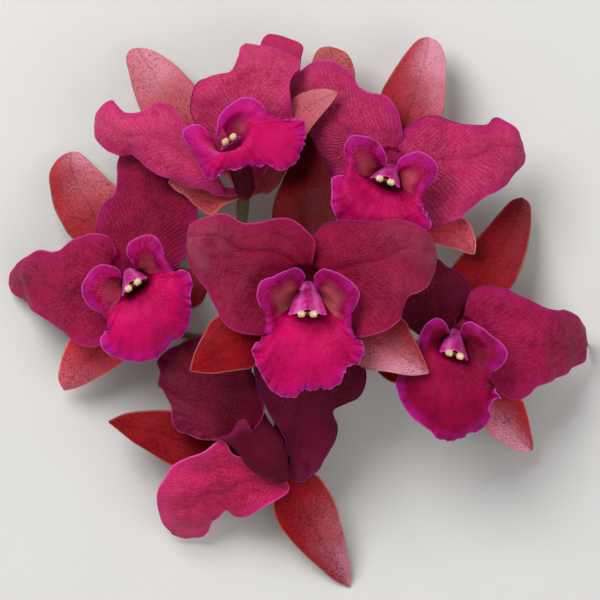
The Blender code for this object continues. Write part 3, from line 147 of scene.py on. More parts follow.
# Each bloom: seat = where its parts meet, axis = the way it faces (x, away from the stalk's
# end, up), down = direction from the column to the lip's middle lobe. A blade is a pair
# of edges, root to tip, as (grid x, grid y, height); arch lifts its middle in millimetres.
# The lip's rim comes in three runs: one side lobe, the middle lobe and the other side lobe.
BLOOMS = {
    "front": {
        "seat": (308, 283, 46), "axis": (0.0, -0.30, 0.95), "down": (0.0, -1.0, 0.0),
        "petals": [
            {"one": [(310, 273, 53.0), (312, 261, 57.5), (315, 243, 60.2), (303, 228, 62), (291, 221, 64),
                     (277, 219, 65), (258, 223, 65), (242, 223, 65), (230, 216, 66),
                     (219, 214, 66), (207, 218, 65), (197, 223, 62), (190, 231, 58),
                     (187, 247, 54)],
             "two": [(294, 290, 52), (283, 305, 53), (266, 333, 56), (248, 334, 57),
                     (232, 329, 59), (221, 318, 60), (215, 303, 60), (205, 287, 60),
                     (196, 275, 59), (190, 265, 57), (187, 247, 54)],
             "arch": (0, -1.5, -2.0, 0.5, 2.0, 0), "wave": 0.7, "turns": 3.3},
            {"one": [(306, 274, 51.0), (305, 262, 54.5), (307, 244, 56), (316, 234, 59), (325, 225, 61.5),
                     (345, 220, 64), (360, 221, 64), (375, 222, 64), (395, 219, 65),
                     (410, 222, 64), (425, 232, 61), (433, 242, 58), (437, 256, 55)],
             "two": [(324, 292, 53), (336, 310, 54), (350, 334, 56), (362, 337, 57),
                     (376, 334, 58), (390, 328, 60), (400, 320, 60), (403, 308, 60),
                     (408, 296, 60), (416, 292, 59), (426, 285, 58), (434, 272, 56),
                     (437, 256, 55)],
             "arch": (0, -1.5, -2.0, 0.5, 2.0, 0), "wave": 0.7, "turns": 3.6}],
        "sepals": [
            {"one": [(285, 300, 47), (250, 312, 48), (215, 318, 50), (203, 337, 50),
                     (195, 353, 49), (190, 371, 48)],
             "two": [(296, 318, 46), (272, 350, 47), (252, 367, 48), (235, 370, 49),
                     (213, 373, 49), (190, 371, 48)],
             "arch": (0, 1.5, 2.5, 1.0, 0)},
            {"one": [(330, 300, 47), (365, 312, 48), (402, 319, 50), (411, 334, 50),
                     (420, 352, 49), (429, 373, 48)],
             "two": [(320, 318, 46), (342, 350, 47), (362, 367, 48), (385, 371, 49),
                     (412, 375, 49), (429, 373, 48)],
             "arch": (0, 1.5, 2.5, 1.0, 0)},
            {"one": [(296, 258, 45), (280, 240, 44), (273, 222, 42), (275, 200, 38),
                     (284, 178, 32.5), (292, 155, 30.3), (297, 140, 29.5), (301, 128, 29)],
             "two": [(320, 258, 45), (334, 240, 44), (338, 222, 42), (334, 190, 40),
                     (327, 170, 36), (319, 150, 32), (309, 133, 30), (301, 128, 29)],
             "arch": (0, -1.0, -1.5, -1.0, 0)}],
        "throat": (308, 311, 57), "mouth": (24, 10, 23), "dip": 5,
        "rim": ([(302, 284, 56), (305, 276, 61), (298, 268, 65), (288, 270, 68),
                 (275, 276, 68), (262, 281, 67), (257, 293, 66), (259, 303, 64),
                 (265, 311, 62), (270, 318, 61.5), (273, 325, 61)],
                [(271, 333, 61), (262, 340, 61), (252, 347, 60), (254, 357, 58),
                 (260, 371, 57), (267, 384, 56), (273, 391, 55), (282, 396, 54),
                 (294, 397, 54), (303, 391, 55), (315, 389, 54), (330, 388, 55),
                 (341, 382, 56), (344, 371, 58), (352, 365, 58), (361, 365, 58),
                 (364, 350, 59), (361, 341, 61), (352, 335.5, 61), (345.5, 330, 61)],
                [(345, 321, 61.5), (351, 313, 62), (357, 303, 64), (359, 292, 66),
                 (350, 281, 67), (337, 273, 68), (324, 269, 66), (315, 275, 61),
                 (314, 284, 56)]),
        "swell": (3.0, 4.0), "frill": 0.9,
        "brow": 0.9, "crisp": 0.6,
        "tucks": ((0.295, 1.6, 1.2, 0.6), (0.655, 2.4, 2.0, 1.2), (0.50, 2.0, 0.8, 0.5)),
        "tip": (307.5, 315, 64), "hood": (6.4, 2.3), "flare": 0.7, "pollen": (5.6, 64.2)},
    "upper_left": {
        "seat": (244, 190, 29), "axis": (0.05, 0.60, 0.80), "down": (0.54, -0.84, 0.0),
        "petals": [
            {"one": [(224, 180, 33), (210, 165, 35), (199, 146, 37), (185, 125, 37),
                     (172, 106, 36), (158, 102, 35), (146, 108, 34), (138, 113, 33),
                     (125, 113, 32), (118, 106, 31), (112, 100, 30), (104, 104, 28),
                     (97, 113, 26), (94, 126, 24)],
             "two": [(226, 196, 32), (212, 192, 32), (202, 188, 33), (190, 185, 33),
                     (178, 181, 33), (168, 177, 33), (155, 173, 32), (145, 166, 31),
                     (137, 158, 31), (130, 155, 30), (122, 157, 29), (113, 154, 28),
                     (105, 149, 27), (97, 140, 26), (94, 126, 24)],
             "arch": (0, 1.0, 2.0, 3.0, 3.0, 0), "wave": 0.8, "turns": 3.4},
            {"one": [(234, 172, 28), (214, 152, 31), (199, 130, 35), (191, 113, 37),
                     (191, 98, 39), (195, 86, 38), (203, 79, 37), (212, 77, 36),
                     (222, 75, 35), (233, 68, 34), (239, 57, 33), (241, 47, 31),
                     (246, 43, 30)],
             "two": [(262, 172, 29), (279, 150, 33), (291, 125, 36.5), (291, 100, 38),
                     (289, 85, 37), (293, 73, 37), (300, 66, 35), (300, 59, 34),
                     (290, 54, 33), (275, 49, 32), (258, 46, 31), (246, 43, 30)],
             "arch": (0, -1.0, -2.0, -1.0, 1.5, 0), "wave": 0.8, "turns": 3.1}],
        "sepals": [
            {"one": [(226, 176, 24), (190, 155, 22), (158, 133, 20), (142, 112, 17),
                     (134, 92, 14), (129, 72, 12), (126, 57, 10), (130, 49, 9),
                     (139, 47, 9)],
             "two": [(238, 170, 23), (222, 145, 23), (206, 115, 22), (196, 88, 19),
                     (184, 74, 16), (173, 63, 13), (162, 55, 11), (150, 49, 10),
                     (139, 47, 9)],
             "arch": (0, -1.0, -1.5, 0, 1.0, 0)},
            {"one": [(231, 198, 27.3), (216, 192, 28.5), (203, 188, 29), (190, 188, 29),
                     (181, 184, 29), (173, 178, 29), (168, 182, 28)],
             "two": [(237, 207, 25.6), (225, 213, 25), (212, 216, 25), (196, 206, 26),
                     (185, 195, 27), (176, 190, 28), (168, 182, 28)],
             "arch": (0, -0.8, -1.0, -0.8, 0)},
            {"one": [(258, 180, 24), (272, 155, 25.5), (285, 120, 28.5), (293, 99, 32),
                     (305, 92, 35), (320, 89, 37), (330, 90, 37), (338, 93, 37)],
             "two": [(262, 190, 29), (274, 179, 34.5), (288, 165, 38.5), (299, 148, 39.5),
                     (309, 131, 39), (319, 118, 38), (330, 105, 38), (338, 93, 37)],
             "arch": (0, 0.5, 1.0, 0.5, 0)}],
        "throat": (233, 138, 52), "mouth": (22, 12, 15), "dip": 9, "twist": 32,
        "rim": ([(209, 134, 46.3), (205, 129, 47.6), (199, 125, 48.7), (193, 125, 49.2),
                 (188, 127, 49), (183, 132, 48), (185, 141, 47), (192, 149, 46),
                 (197, 158, 45), (200, 167, 45)],
                [(205, 176, 45), (212, 180, 46), (219, 175, 48), (225, 169, 49),
                 (232, 170, 49), (240, 169, 49), (247, 164, 49), (254, 167, 49),
                 (260, 168, 49), (267, 164, 49), (273, 167, 48), (279, 171, 47),
                 (287, 169, 46), (295, 163, 45), (301, 152, 44), (306, 137, 44),
                 (304, 121, 45), (295, 120, 46), (286, 119, 47), (278, 119, 47),
                 (271, 119, 46.5)],
                [(267, 114, 46.5), (264, 108, 47), (259, 102, 48), (250, 98, 48),
                 (240, 99, 49), (229, 106, 49), (220, 116, 48), (217, 128, 46),
                 (216, 139, 43.5)]),
        "swell": (2.0, 1.5), "frill": 0.8,
        "brow": 0.4, "crisp": 0.6,
        "tucks": ((0.60, 2.0, 1.2, 0.5), (0.40, 2.0, 0.8, 0.3)),
        "tip": (231, 143, 48), "hood": (4.0, 1.6), "pollen": (4.4, 48.4)},
    "upper_right": {
        "seat": (392, 167, 30), "axis": (-0.08, -0.22, 0.97), "down": (-0.32, -0.95, 0.0),
        "petals": [
            {"one": [(401, 150, 33), (402, 135, 35), (400, 120, 36), (396, 107, 36),
                     (388, 97, 35), (378, 94, 34), (368, 92, 34), (358, 86, 33),
                     (353, 76, 32), (345, 68, 31), (333, 61, 30), (320, 61, 29),
                     (310, 65, 27), (300, 71, 26), (290, 79, 26), (282, 90, 25)],
             "two": [(378, 174, 32), (360, 178, 31), (342, 180, 30), (326, 176, 29),
                     (312, 163, 28), (301, 145, 27), (292, 125, 26), (284, 107, 25),
                     (282, 90, 25)],
             "arch": (0, 0.5, 1.0, 1.5, 1.5, 0), "wave": 0.7, "turns": 3.2},
            {"one": [(398, 152, 33), (400, 140, 35), (404, 130, 35), (412, 123, 36),
                     (425, 116, 36), (438, 116, 36), (448, 120, 35), (462, 124, 34),
                     (475, 125, 33), (486, 125, 32), (491, 120, 31), (497, 118, 30),
                     (506, 121, 29), (515, 127, 28), (520, 139, 26), (526, 155, 23)],
             "two": [(402, 182, 33), (411, 206, 34), (423, 224, 34), (433, 228, 34),
                     (448, 223, 34), (460, 218, 34), (470, 210, 33), (483, 198, 32),
                     (498, 191, 30), (508, 182, 28), (518, 171, 26), (525, 162, 24),
                     (526, 155, 23)],
             "arch": (0, -1.0, -1.0, 1.0, 2.0, 0), "wave": 0.8, "turns": 3.7}],
        "sepals": [
            {"one": [(387, 148, 29), (381, 120, 28), (381, 95, 26), (390, 77, 22),
                     (400, 61, 19), (410, 48, 16), (419, 39, 13), (428, 36, 12)],
             "two": [(404, 150, 29), (428, 132, 29), (443, 112, 26), (445, 95, 22),
                     (446, 75, 19), (445, 57, 16), (439, 42, 13), (428, 36, 12)],
             "arch": (0, -1.0, -1.5, 0.5, 1.0, 0)},
            {"one": [(408, 186, 28), (425, 206, 28), (445, 221, 29), (463, 218, 28),
                     (470, 224, 28), (474, 234, 27), (476, 244, 26), (475, 254, 25)],
             "two": [(398, 195, 27), (408, 220, 27), (420, 238, 27), (434, 243, 27),
                     (448, 247, 26), (460, 250, 26), (468, 253, 25), (475, 254, 25)],
             "arch": (0, 0.5, 1.0, 1.0, 0)},
            {"one": [(378, 166, 26), (358, 171, 25), (335, 180, 24), (315, 192, 23),
                     (301, 208, 22), (294, 222, 21)],
             "two": [(382, 185, 26), (368, 205, 25), (345, 222, 24), (322, 230, 23),
                     (306, 229, 22), (294, 222, 21)],
             "arch": (0, 0.5, 1.0, 0.5, 0)}],
        "throat": (385, 183, 45), "mouth": (23, 9, 19), "dip": 5,
        "rim": ([(386, 167, 41), (386, 156, 44), (380, 145, 46), (372, 139, 48),
                 (362, 136, 48), (352, 136, 47), (346, 142, 46), (344, 151, 45),
                 (346, 160, 44), (350, 170, 44)],
                [(349, 176, 46), (339, 175, 47), (331, 180, 48), (332, 190, 48),
                 (331, 202, 48), (334, 213, 48), (339, 223, 47), (350, 231, 46),
                 (364, 235, 45), (380, 236, 45), (396, 234, 46), (410, 230, 47),
                 (420, 229, 48), (430, 229, 48), (432, 220, 48), (427, 211, 49),
                 (420, 206, 49), (415.5, 201, 47.5)],
                [(419, 193, 46), (428.5, 186, 46), (436, 177, 46), (437, 166, 47),
                 (430, 157, 48), (419, 152, 48), (408, 154, 47), (399, 160, 45),
                 (396, 169, 41)]),
        "swell": (2.5, 4.5), "frill": 0.9,
        "brow": 0.8, "crisp": 0.3,
        "tucks": ((0.68, 2.6, 2.2, 1.0), (0.28, 1.8, 1.0, 0.5)),
        "tip": (384.5, 183, 51), "hood": (5.2, 2.1), "flare": 0.7, "pollen": (5.7, 51.4)},
    "left": {
        "seat": (129, 272, 28), "axis": (0.02, -0.16, 0.985), "down": (0.59, -0.81, 0.0),
        "petals": [
            {"one": [(118, 262, 28), (104, 248, 28), (95, 234, 27), (97, 217, 26),
                     (104, 203, 25), (114, 192, 24), (117, 177, 23), (117, 163, 21),
                     (121, 152, 19), (132, 145, 18), (146, 144, 18)],
             "two": [(150, 276, 29), (170, 272, 29), (182, 262, 29), (190, 245, 28),
                     (195, 228, 27), (197, 213, 24), (192, 199, 21), (184, 184, 20),
                     (174, 168, 19), (162, 152, 18), (146, 144, 18)],
             "arch": (0, 1.5, 2.0, 2.0, 1.0, 0), "wave": 0.6, "turns": 3.0},
            {"one": [(119, 258, 31), (114, 246, 33), (107, 236, 34), (95, 233, 33),
                     (82, 236, 31), (70, 241, 29), (61, 250, 27), (50, 252, 24),
                     (39, 250, 21), (31, 255, 17.5), (20, 261, 12.5), (12, 270, 7),
                     (7, 283, 0.13)],
             "two": [(119, 288, 30), (112, 312, 31), (108, 332, 31), (100, 345, 30),
                     (88, 347, 29), (75, 342, 27), (65, 333, 25), (50, 321, 22),
                     (38, 314, 18), (28, 307, 13), (18, 299, 8), (11, 291, 4),
                     (7, 283, 0.13)],
             "arch": (0, -1.0, 0.5, 2.0, 2.0, 0), "wave": 0.8, "turns": 3.8}],
        "sepals": [
            {"one": [(118, 262, 25), (95, 250, 23), (72, 238, 20), (61, 222, 18),
                     (53, 205, 15), (49, 185, 12), (49, 172, 9), (55, 161, 7),
                     (63, 154, 5), (71, 151, 4)],
             "two": [(128, 255, 25), (125, 230, 24), (124, 207, 20), (117, 189, 18),
                     (105, 177, 15), (95, 167, 12), (86, 158, 8), (78, 152, 6),
                     (71, 151, 4)],
             "arch": (0, -0.5, -1.0, 0.5, 1.0, 0)},
            {"one": [(119, 290, 25), (98, 310, 24), (80, 325, 22), (70, 338, 20),
                     (63, 353, 17), (59, 367, 14), (58, 380, 11), (63, 391, 8)],
             "two": [(130, 300, 25), (132, 330, 23), (129, 352, 21), (122, 363, 19),
                     (105, 373, 16), (90, 381, 13), (75, 388, 10), (63, 391, 8)],
             "arch": (0, 0.5, 1.5, 1.0, 0)},
            {"one": [(142, 275, 25), (160, 271, 26), (180, 268, 27), (198, 272, 28),
                     (206, 282, 28), (207, 291, 28)],
             "two": [(142, 290, 25), (160, 303, 26), (178, 312, 26), (190, 309, 27),
                     (200, 304, 28), (207, 291, 28)],
             "arch": (0, 0.5, 1.0, 0.5, 0)}],
        "throat": (137, 286, 44), "mouth": (24, 9, 20), "dip": 5,
        "rim": ([(122, 276, 40), (118, 269, 43), (108, 265, 45), (97, 266, 46),
                 (88, 275, 45), (82, 287, 44), (84, 298, 43), (90, 307, 42),
                 (99, 312, 41.5), (109, 315, 42), (117, 319, 42.5)],
                [(117, 325, 43), (109, 331, 44), (101, 337, 44), (101, 345, 44),
                 (105, 351, 43), (113, 356, 42), (126, 360, 41), (140, 362, 40),
                 (154, 359, 40), (164, 352, 40), (171, 342, 41), (181, 337, 41),
                 (188, 328, 42), (191, 315, 43), (193, 303, 44), (191, 294, 45),
                 (193, 284, 46), (190, 275, 47), (184, 270, 47), (177, 271, 46),
                 (171, 271, 45.5)],
                [(167, 265, 45.5), (164, 254, 46), (160, 242, 47), (154, 236, 47),
                 (147, 235, 47), (137, 238, 47), (129, 244, 46), (127, 253, 44),
                 (132, 262, 40)]),
        "swell": (2.5, 5.0), "frill": 0.8,
        "brow": 0.9, "crisp": 0.25,
        "tucks": ((0.66, 2.4, 2.2, 1.0), (0.31, 1.8, 1.8, 1.0)),
        "tip": (135, 287, 49), "hood": (5.2, 2.1), "flare": 0.7, "pollen": (5.2, 49.3)},
    "right": {
        "seat": (455, 332, 29), "axis": (-0.05, -0.18, 0.98), "down": (-0.30, -0.95, 0.0),
        "petals": [
            {"one": [(441, 336, 28), (424, 336, 29), (408, 326, 30), (399, 310, 30),
                     (396, 290, 30), (402, 272, 29), (415, 259, 28), (428, 255, 28),
                     (440, 260, 27)],
             "two": [(457, 317, 29), (466, 304, 29), (471, 292, 29), (468, 280, 29),
                     (458, 271, 28), (448, 267, 28), (440, 260, 27)],
             "arch": (0, 1.5, 3.0, 3.0, 1.0, 0), "wave": 0.5, "turns": 2.6},
            {"one": [(463, 320, 32), (466, 305, 34), (471, 293, 35), (480, 287, 35),
                     (492, 286, 35), (507, 289, 34), (520, 296, 33), (535, 302, 31),
                     (547, 309, 29), (556, 311, 26), (566, 310, 22), (576, 317, 16),
                     (585, 328, 9), (590, 345, 0.09)],
             "two": [(470, 344, 31), (480, 362, 32), (490, 379, 32), (501, 393, 32),
                     (515, 400, 31), (527, 396, 30), (538, 386, 28), (550, 381, 25),
                     (562, 378, 21), (573, 370, 14.5), (583, 361, 8), (590, 345, 0.09)],
             "arch": (0, -1.0, 0.5, 2.0, 2.5, 0), "wave": 0.7, "turns": 3.2}],
        "sepals": [
            {"one": [(448, 318, 26), (444, 298, 25), (450, 272, 23), (460, 258, 20),
                     (476, 240, 17), (490, 225, 14), (503, 210, 11), (513, 200, 9),
                     (523, 197, 8)],
             "two": [(464, 318, 26), (487, 304, 26), (507, 292, 23), (517, 278, 20),
                     (525, 258, 16), (530, 237, 13), (532, 216, 10), (530, 203, 9),
                     (523, 197, 8)],
             "arch": (0, -1.5, -2.0, -0.5, 1.0, 0)},
            {"one": [(462, 345, 25), (473, 378, 24), (482, 410, 21), (488, 431, 19),
                     (500, 441, 16), (514, 449, 12), (528, 453, 9), (534, 451, 8)],
             "two": [(472, 342, 26), (494, 375, 26), (511, 395, 25), (523, 401, 22),
                     (527, 412, 18), (531, 430, 13), (534, 443, 10), (534, 451, 8)],
             "arch": (0, 0.5, 1.0, 1.0, 0)},
            {"one": [(443, 338, 25), (425, 345, 24), (405, 355, 25), (390, 363, 26),
                     (378, 372, 27)],
             "two": [(448, 352, 25), (430, 370, 25), (412, 380, 25), (398, 383, 26),
                     (388, 380, 27), (378, 372, 27)],
             "arch": (0, 0.5, 1.0, 0.5, 0)}],
        "throat": (453, 351, 44), "mouth": (21, 10, 18), "dip": 5,
        "rim": ([(449, 333, 41.5), (446, 324, 44), (438, 318, 45), (428, 322, 46),
                 (421, 332, 45), (418, 343, 44), (420, 351, 42), (420, 358, 41)],
                [(411, 364, 42), (402, 371, 41), (396, 381, 41), (398, 393, 41),
                 (403, 405, 41), (412, 417, 41), (425, 427, 40), (431, 431, 40),
                 (437, 438, 39), (447, 441, 38), (459, 439, 38), (470, 433, 39),
                 (480, 430, 40), (487, 424, 42), (491, 415, 44), (489, 405, 45),
                 (494, 400, 46), (502, 399, 46), (499, 394, 45), (489, 394, 44),
                 (481, 391, 43), (478, 384, 43)],
                [(482, 377, 43.5), (491, 372.5, 44), (501, 366, 45), (507, 355, 46),
                 (503, 345, 46), (492, 336, 47), (482, 328, 47), (471, 322, 46),
                 (463, 324, 44), (460, 332, 40)]),
        "swell": (2.5, 4.5), "frill": 0.8,
        "brow": 0.8, "crisp": 0.2,
        "tucks": ((0.66, 2.4, 2.2, 1.0), (0.45, 1.8, 0.8, 0.4)),
        "tip": (453.5, 356, 48), "hood": (5.0, 2.1), "flare": 0.7, "pollen": (5.4, 48.4)},
    "lower": {
        "seat": (284, 474, 24), "axis": (-0.25, -0.20, 0.95), "down": (-0.30, 0.33, -0.90),
        "look": (-0.57, 0.70, 0.42), "claw": ((-0.47, 0.57, 0.67), 2.8, 1.8),
        "petals": [
            {"one": [(268, 476, 26), (249, 465, 29), (235, 454, 31), (222, 440, 32),
                     (211, 445, 32), (202, 452, 31), (186, 459, 29), (172, 467, 27),
                     (165, 478, 24), (158, 490, 20), (157, 506, 15), (162, 522, 10),
                     (172, 536, 5)],
             "two": [(289, 490, 23.5), (280, 498, 22.5), (266, 506, 21), (251, 515, 19),
                     (239, 519, 17), (231, 518, 16), (227, 512, 16), (219, 517, 14),
                     (212, 522, 12), (208, 531, 9), (200, 538, 6), (187, 541, 4),
                     (172, 536, 5)],
             "arch": (0, -2.0, -1.0, 2.0, 3.0, 0), "wave": 0.6, "turns": 3.0},
            {"one": [(290, 464, 26), (286, 447, 29), (279, 431, 32), (271, 416, 35),
                     (262, 400, 36), (257, 385, 36), (254, 370, 36), (256, 355, 35),
                     (265, 343, 34), (280, 335, 33), (300, 331, 32)],
             "two": [(300, 482, 24), (315, 473, 25), (325, 459, 25), (334, 443, 26),
                     (337, 427, 27), (333, 411, 28), (345, 404, 28), (358, 398, 28),
                     (365, 386, 29), (366, 372, 30), (360, 357, 31), (347, 344, 32),
                     (325, 334, 32), (300, 331, 32)],
             "arch": (0, -4.0, -4.5, -2.0, 0, 0), "wave": 0.6, "turns": 2.8}],
        "sepals": [
            {"one": [(266, 458, 20), (240, 434, 22), (215, 424, 24), (190, 416, 25),
                     (170, 411, 24), (148, 411, 22), (125, 414, 19), (107, 422, 15)],
             "two": [(272, 476, 20), (242, 474, 21), (212, 474, 22), (186, 470, 23),
                     (166, 463, 22), (147, 451, 20), (126, 437, 17), (107, 422, 15)],
             "arch": (0, -0.5, -1.0, 0.5, 0)},
            {"one": [(284, 484, 20), (274, 503, 18), (278, 523, 15), (291, 541, 12),
                     (306, 557, 8), (322, 571, 5), (337, 583, 2), (350, 589, 0.43)],
             "two": [(297, 478, 21), (314, 474, 21), (326, 487, 18), (335, 504, 15),
                     (341, 525, 12), (346, 548, 8), (350, 570, 4), (350, 589, 0.43)],
             "arch": (0, 1.0, 2.0, 1.0, 0)},
            {"one": [(278, 460, 20), (274, 430, 20), (279, 400, 20), (290, 372, 19),
                     (306, 350, 18)],
             "two": [(294, 464, 20), (308, 440, 20), (319, 410, 20), (320, 380, 19),
                     (306, 350, 18)],
             "arch": (0, -0.5, -1.0, -0.5, 0)}],
        "throat": (248, 430, 32.5), "mouth": (21, 10, 13), "dip": 0,
        "turns": (-181, -80, 80, 181), "wrap": 1.0, "waist": 0.4,
        "rim": ([(256, 425, 37), (261, 419, 37), (264, 412, 36), (264, 404, 34.3),
                 (261, 397, 33)],
                [(258, 389, 32), (255, 381, 31.5), (253, 373, 31), (253, 364, 31),
                 (252, 354, 31), (244, 343, 32), (230, 335, 32), (212, 333, 32),
                 (195, 337, 32), (180, 344, 32), (165, 352, 31), (157, 362, 31),
                 (160, 372, 31), (158, 383, 30), (164, 393, 30), (171, 406, 31),
                 (172, 421, 31), (178, 431, 31), (187, 434, 31.7), (196, 438, 32.6),
                 (205, 440, 33.3), (213, 440, 34.0), (221, 440, 34.6)],
                [(228, 435, 35.3), (235, 427, 36.4), (240, 420, 37.5), (246, 420, 37.5),
                 (251, 427, 37)]),
        "swell": (1.5, 2.5), "frill": 0.7,
        "tip": (253, 435, 32), "hood": (2.2, 1.1), "pollen": (2.6, 32)},
    "rear": {
        "seat": (315, 165, 12.5), "axis": (0.0, 0.985, 0.17), "down": (0.0, 0.17, -0.985),
        "claw": ((0.0, 0.985, 0.17), 2.5, 0.0),
        "petals": [
            {"one": [(303, 165, 11), (290, 150, 13), (277, 125, 17), (264, 95, 20),
                     (259, 65, 21), (261, 42, 20), (268, 34, 19), (280, 35, 19)],
             "two": [(309, 165, 17), (305, 150, 19), (303, 125, 20), (302, 95, 21),
                     (300, 75, 21.5), (301, 57, 21.5), (303, 47, 21), (298, 41, 20),
                     (290, 38, 19), (280, 35, 19)],
             "arch": (0, 0.5, 1.0, 0.5, 0), "wave": 0.4, "turns": 2.0},
            {"one": [(325, 165, 13), (335, 150, 14), (350, 128, 15), (368, 112, 14),
                     (388, 112, 12)],
             "two": [(323, 165, 8.5), (332, 155, 8), (350, 145, 8), (372, 130, 9),
                     (388, 112, 12)],
             "arch": (0, 0.5, 1.0, 0.5, 0), "wave": 0.4, "turns": 2.0}],
        "sepals": [
            {"one": [(311, 171, 20), (311, 150, 21), (310, 120, 20.5), (309, 92, 20),
                     (311, 70, 19.5), (314, 57, 19.5), (320, 48, 19), (330, 46, 18)],
             "two": [(323, 171, 20), (331, 150, 20.5), (341, 122, 20), (351, 97, 19.5),
                     (355, 77, 19), (352, 62, 19), (345, 52, 18.5), (330, 46, 18)],
             "arch": (0, 0.5, 1.0, 0.5, 0)},
            {"one": [(304, 170, 9), (290, 150, 8), (265, 120, 7), (243, 92, 6),
                     (230, 84, 5)],
             "two": [(309, 170, 5), (300, 152, 4), (275, 135, 4), (248, 112, 4),
                     (230, 84, 5)],
             "arch": (0, 0.5, 1.0, 0.5, 0)},
            {"one": [(313, 170, 5), (306, 150, 3.5), (300, 120, 2.5), (299, 98, 1.5),
                     (310, 76, 0.50)],
             "two": [(321, 170, 6), (322, 150, 4), (328, 122, 2.5), (322, 98, 1.5),
                     (310, 76, 0.50)],
             "arch": (0, 0.2, 0.3, 0)}],
        "throat": (313, 135, 12), "mouth": (13, 11, 9), "dip": 0,
        "rim": ([(316, 134, 16), (322, 128, 16), (329, 118, 15)],
                [(333, 108, 12.5), (330, 100, 10), (324, 96, 8), (316, 91, 7),
                 (308, 91, 7), (300, 95, 8), (295, 102, 10), (294, 110, 12.5),
                 (297, 120, 15)],
                [(303, 129, 16), (310, 134, 16)]),
        "swell": (0.5, 0.5), "frill": 0.3,
        "tip": (314, 143, 12), "hood": (2.0, 1.2), "pollen": (2.0, 10.5)},
}

# Stalk: knots from the cut end up to the hub, then one run from the hub to each bloom.
HUB = (300, 300, 12)
STALK = [(298, 455, 2.78), (299, 400, 5.0), (300, 350, 8.5), HUB]
PEDICELS = {
    "front": [HUB, (303, 290, 24)],
    "upper_left": [HUB, (270, 268, 10), (244, 226, 14)],
    "upper_right": [HUB, (330, 268, 11), (372, 212, 14)],
    "left": [HUB, (240, 330, 10), (187, 337, 13), (146, 302, 15)],
    "right": [HUB, (380, 334, 11), (430, 345, 15)],
    "lower": [HUB, (316, 380, 7), (318, 440, 7), (302, 472, 12)],
    "rear": [HUB, (305, 262, 9), (313, 215, 9)],
}


def place(point):
    """Grid point and height in millimetres to metres."""
    x, y, z = point
    return np.array([(x - GRID_X) * UNIT, (GRID_Y - y) * UNIT, z * MM])


def unit(vector):
    vector = np.asarray(vector, float)
    return vector / np.linalg.norm(vector)


def curve(points, at):
    """Smooth curve through points, read at fractions of its length."""
    points = np.asarray(points, float)
    steps = np.linalg.norm(np.diff(points, axis=0), axis=1)
    knots = np.concatenate([[0], np.cumsum(steps)]) / steps.sum()
    slopes = np.empty_like(points)
    slopes[1:-1] = (points[2:] - points[:-2]) / (knots[2:] - knots[:-2])[:, None]
    slopes[0] = (points[1] - points[0]) / (knots[1] - knots[0])
    slopes[-1] = (points[-1] - points[-2]) / (knots[-1] - knots[-2])
    at = np.clip(np.asarray(at, float), 0, 1)
    cell = np.clip(np.searchsorted(knots, at, side="right") - 1, 0, len(knots) - 2)
    wide = (knots[cell + 1] - knots[cell])[:, None]
    t = ((at - knots[cell])[:, None]) / wide
    return ((2 * t**3 - 3 * t**2 + 1) * points[cell] + (t**3 - 2 * t**2 + t) * wide * slopes[cell]
            + (3 * t**2 - 2 * t**3) * points[cell + 1] + (t**3 - t**2) * wide * slopes[cell + 1])


def blade_grid(blade, centre, axis, room, rows, cols, free=0.5):
    """Points of a petal or sepal, row by row from its root on the seat to its tip."""
    one = [place(p) for p in blade["one"]]
    two = [place(p) for p in blade["two"]]
    out = (one[0] + two[0]) / 2 - centre
    across = unit(one[0] - two[0])
    out = unit(out - across * out.dot(across))
    root = centre + out * SEAT_RADIUS * SEAT_ROOT
    half = SEAT_RADIUS * SEAT_HALF
    even = np.linspace(0, 1, rows + 1)
    steps = 0.45 * even + 0.275 * (1 - np.cos(math.pi * even))
    left = curve([root + across * half] + one, steps)
    right = curve([root - across * half] + two, steps)
    arch = np.interp(steps, np.linspace(0, 1, len(blade["arch"])), blade["arch"]) * MM
    wave = blade.get("wave", 0.25) * MM
    turns = blade.get("turns", 2.0)
    grid = np.empty((rows + 1, cols + 1, 3))
    for j, v in enumerate(np.linspace(0, 1, cols + 1)):
        grid[:, j] = left * (1 - v) + right * v
        rise = arch * 4 * v * (1 - v)
        edge = abs(2 * v - 1) ** 2.5
        fade = np.clip(steps * 3, 0, 1) * np.clip((1 - steps) * 4, 0, 1)
        ripple = np.sin(2 * math.pi * (turns * steps + EDGE_START[int(v >= 0.5)]))
        grid[:, j, 2] += rise + wave * edge * fade * ripple
    hold = np.clip((free - steps) / (0.4 * free), 0, 1)
    return leave_seat(grid, centre, axis, room, hold[:, None])


def blade_rooms(small):
    """Room round the seat for the sepals and for the petals, and the share held within it.

    A room is, in millimetres, how far above and below the seat's middle a blade may be, how
    fast those two bounds open with reach, and from which reach on they open steeply, and how.
    """
    rise, free = (2, 0.2) if small else (0, 0.5)
    return (0.2, 0.2, rise, 0.3, 7.5, 1.4), (0.3, 0.1, 0.25 + rise, 0, 6.5, 2.6), free


def leave_seat(grid, centre, axis, room, hold):
    """Hold a blade near its seat's plane at first, clear of the lip's tube and the ovary."""
    offset = grid - centre
    height = offset @ axis
    flat = offset - height[..., None] * axis
    reach = np.linalg.norm(flat, axis=-1) / MM
    above, below, rise, fall, start, steep = room
    near, far = np.clip(reach - 3, 0, None), np.clip(reach - start, 0, None)
    top = above + rise * near + steep * far
    low = -below - fall * near - 0.6 * steep * far
    free = height / MM
    level = (free + top - np.sqrt((free - top) ** 2 + 0.2)) / 2
    level = (level + low + np.sqrt((level - low) ** 2 + 0.2)) / 2
    level = level * hold + free * (1 - hold)
    return centre + flat + level[..., None] * MM * axis


def lip_frame(bloom, axis):
    """Directions down and across the lip's mouth, and the way the mouth looks."""
    down = unit(bloom["down"])
    look = np.array([0, 0, 1.0]) if abs(down[2]) < 0.5 else axis
    look = np.asarray(bloom.get("look", look))
    look = unit(look - down * look.dot(down))
    return down, np.cross(look, down), look


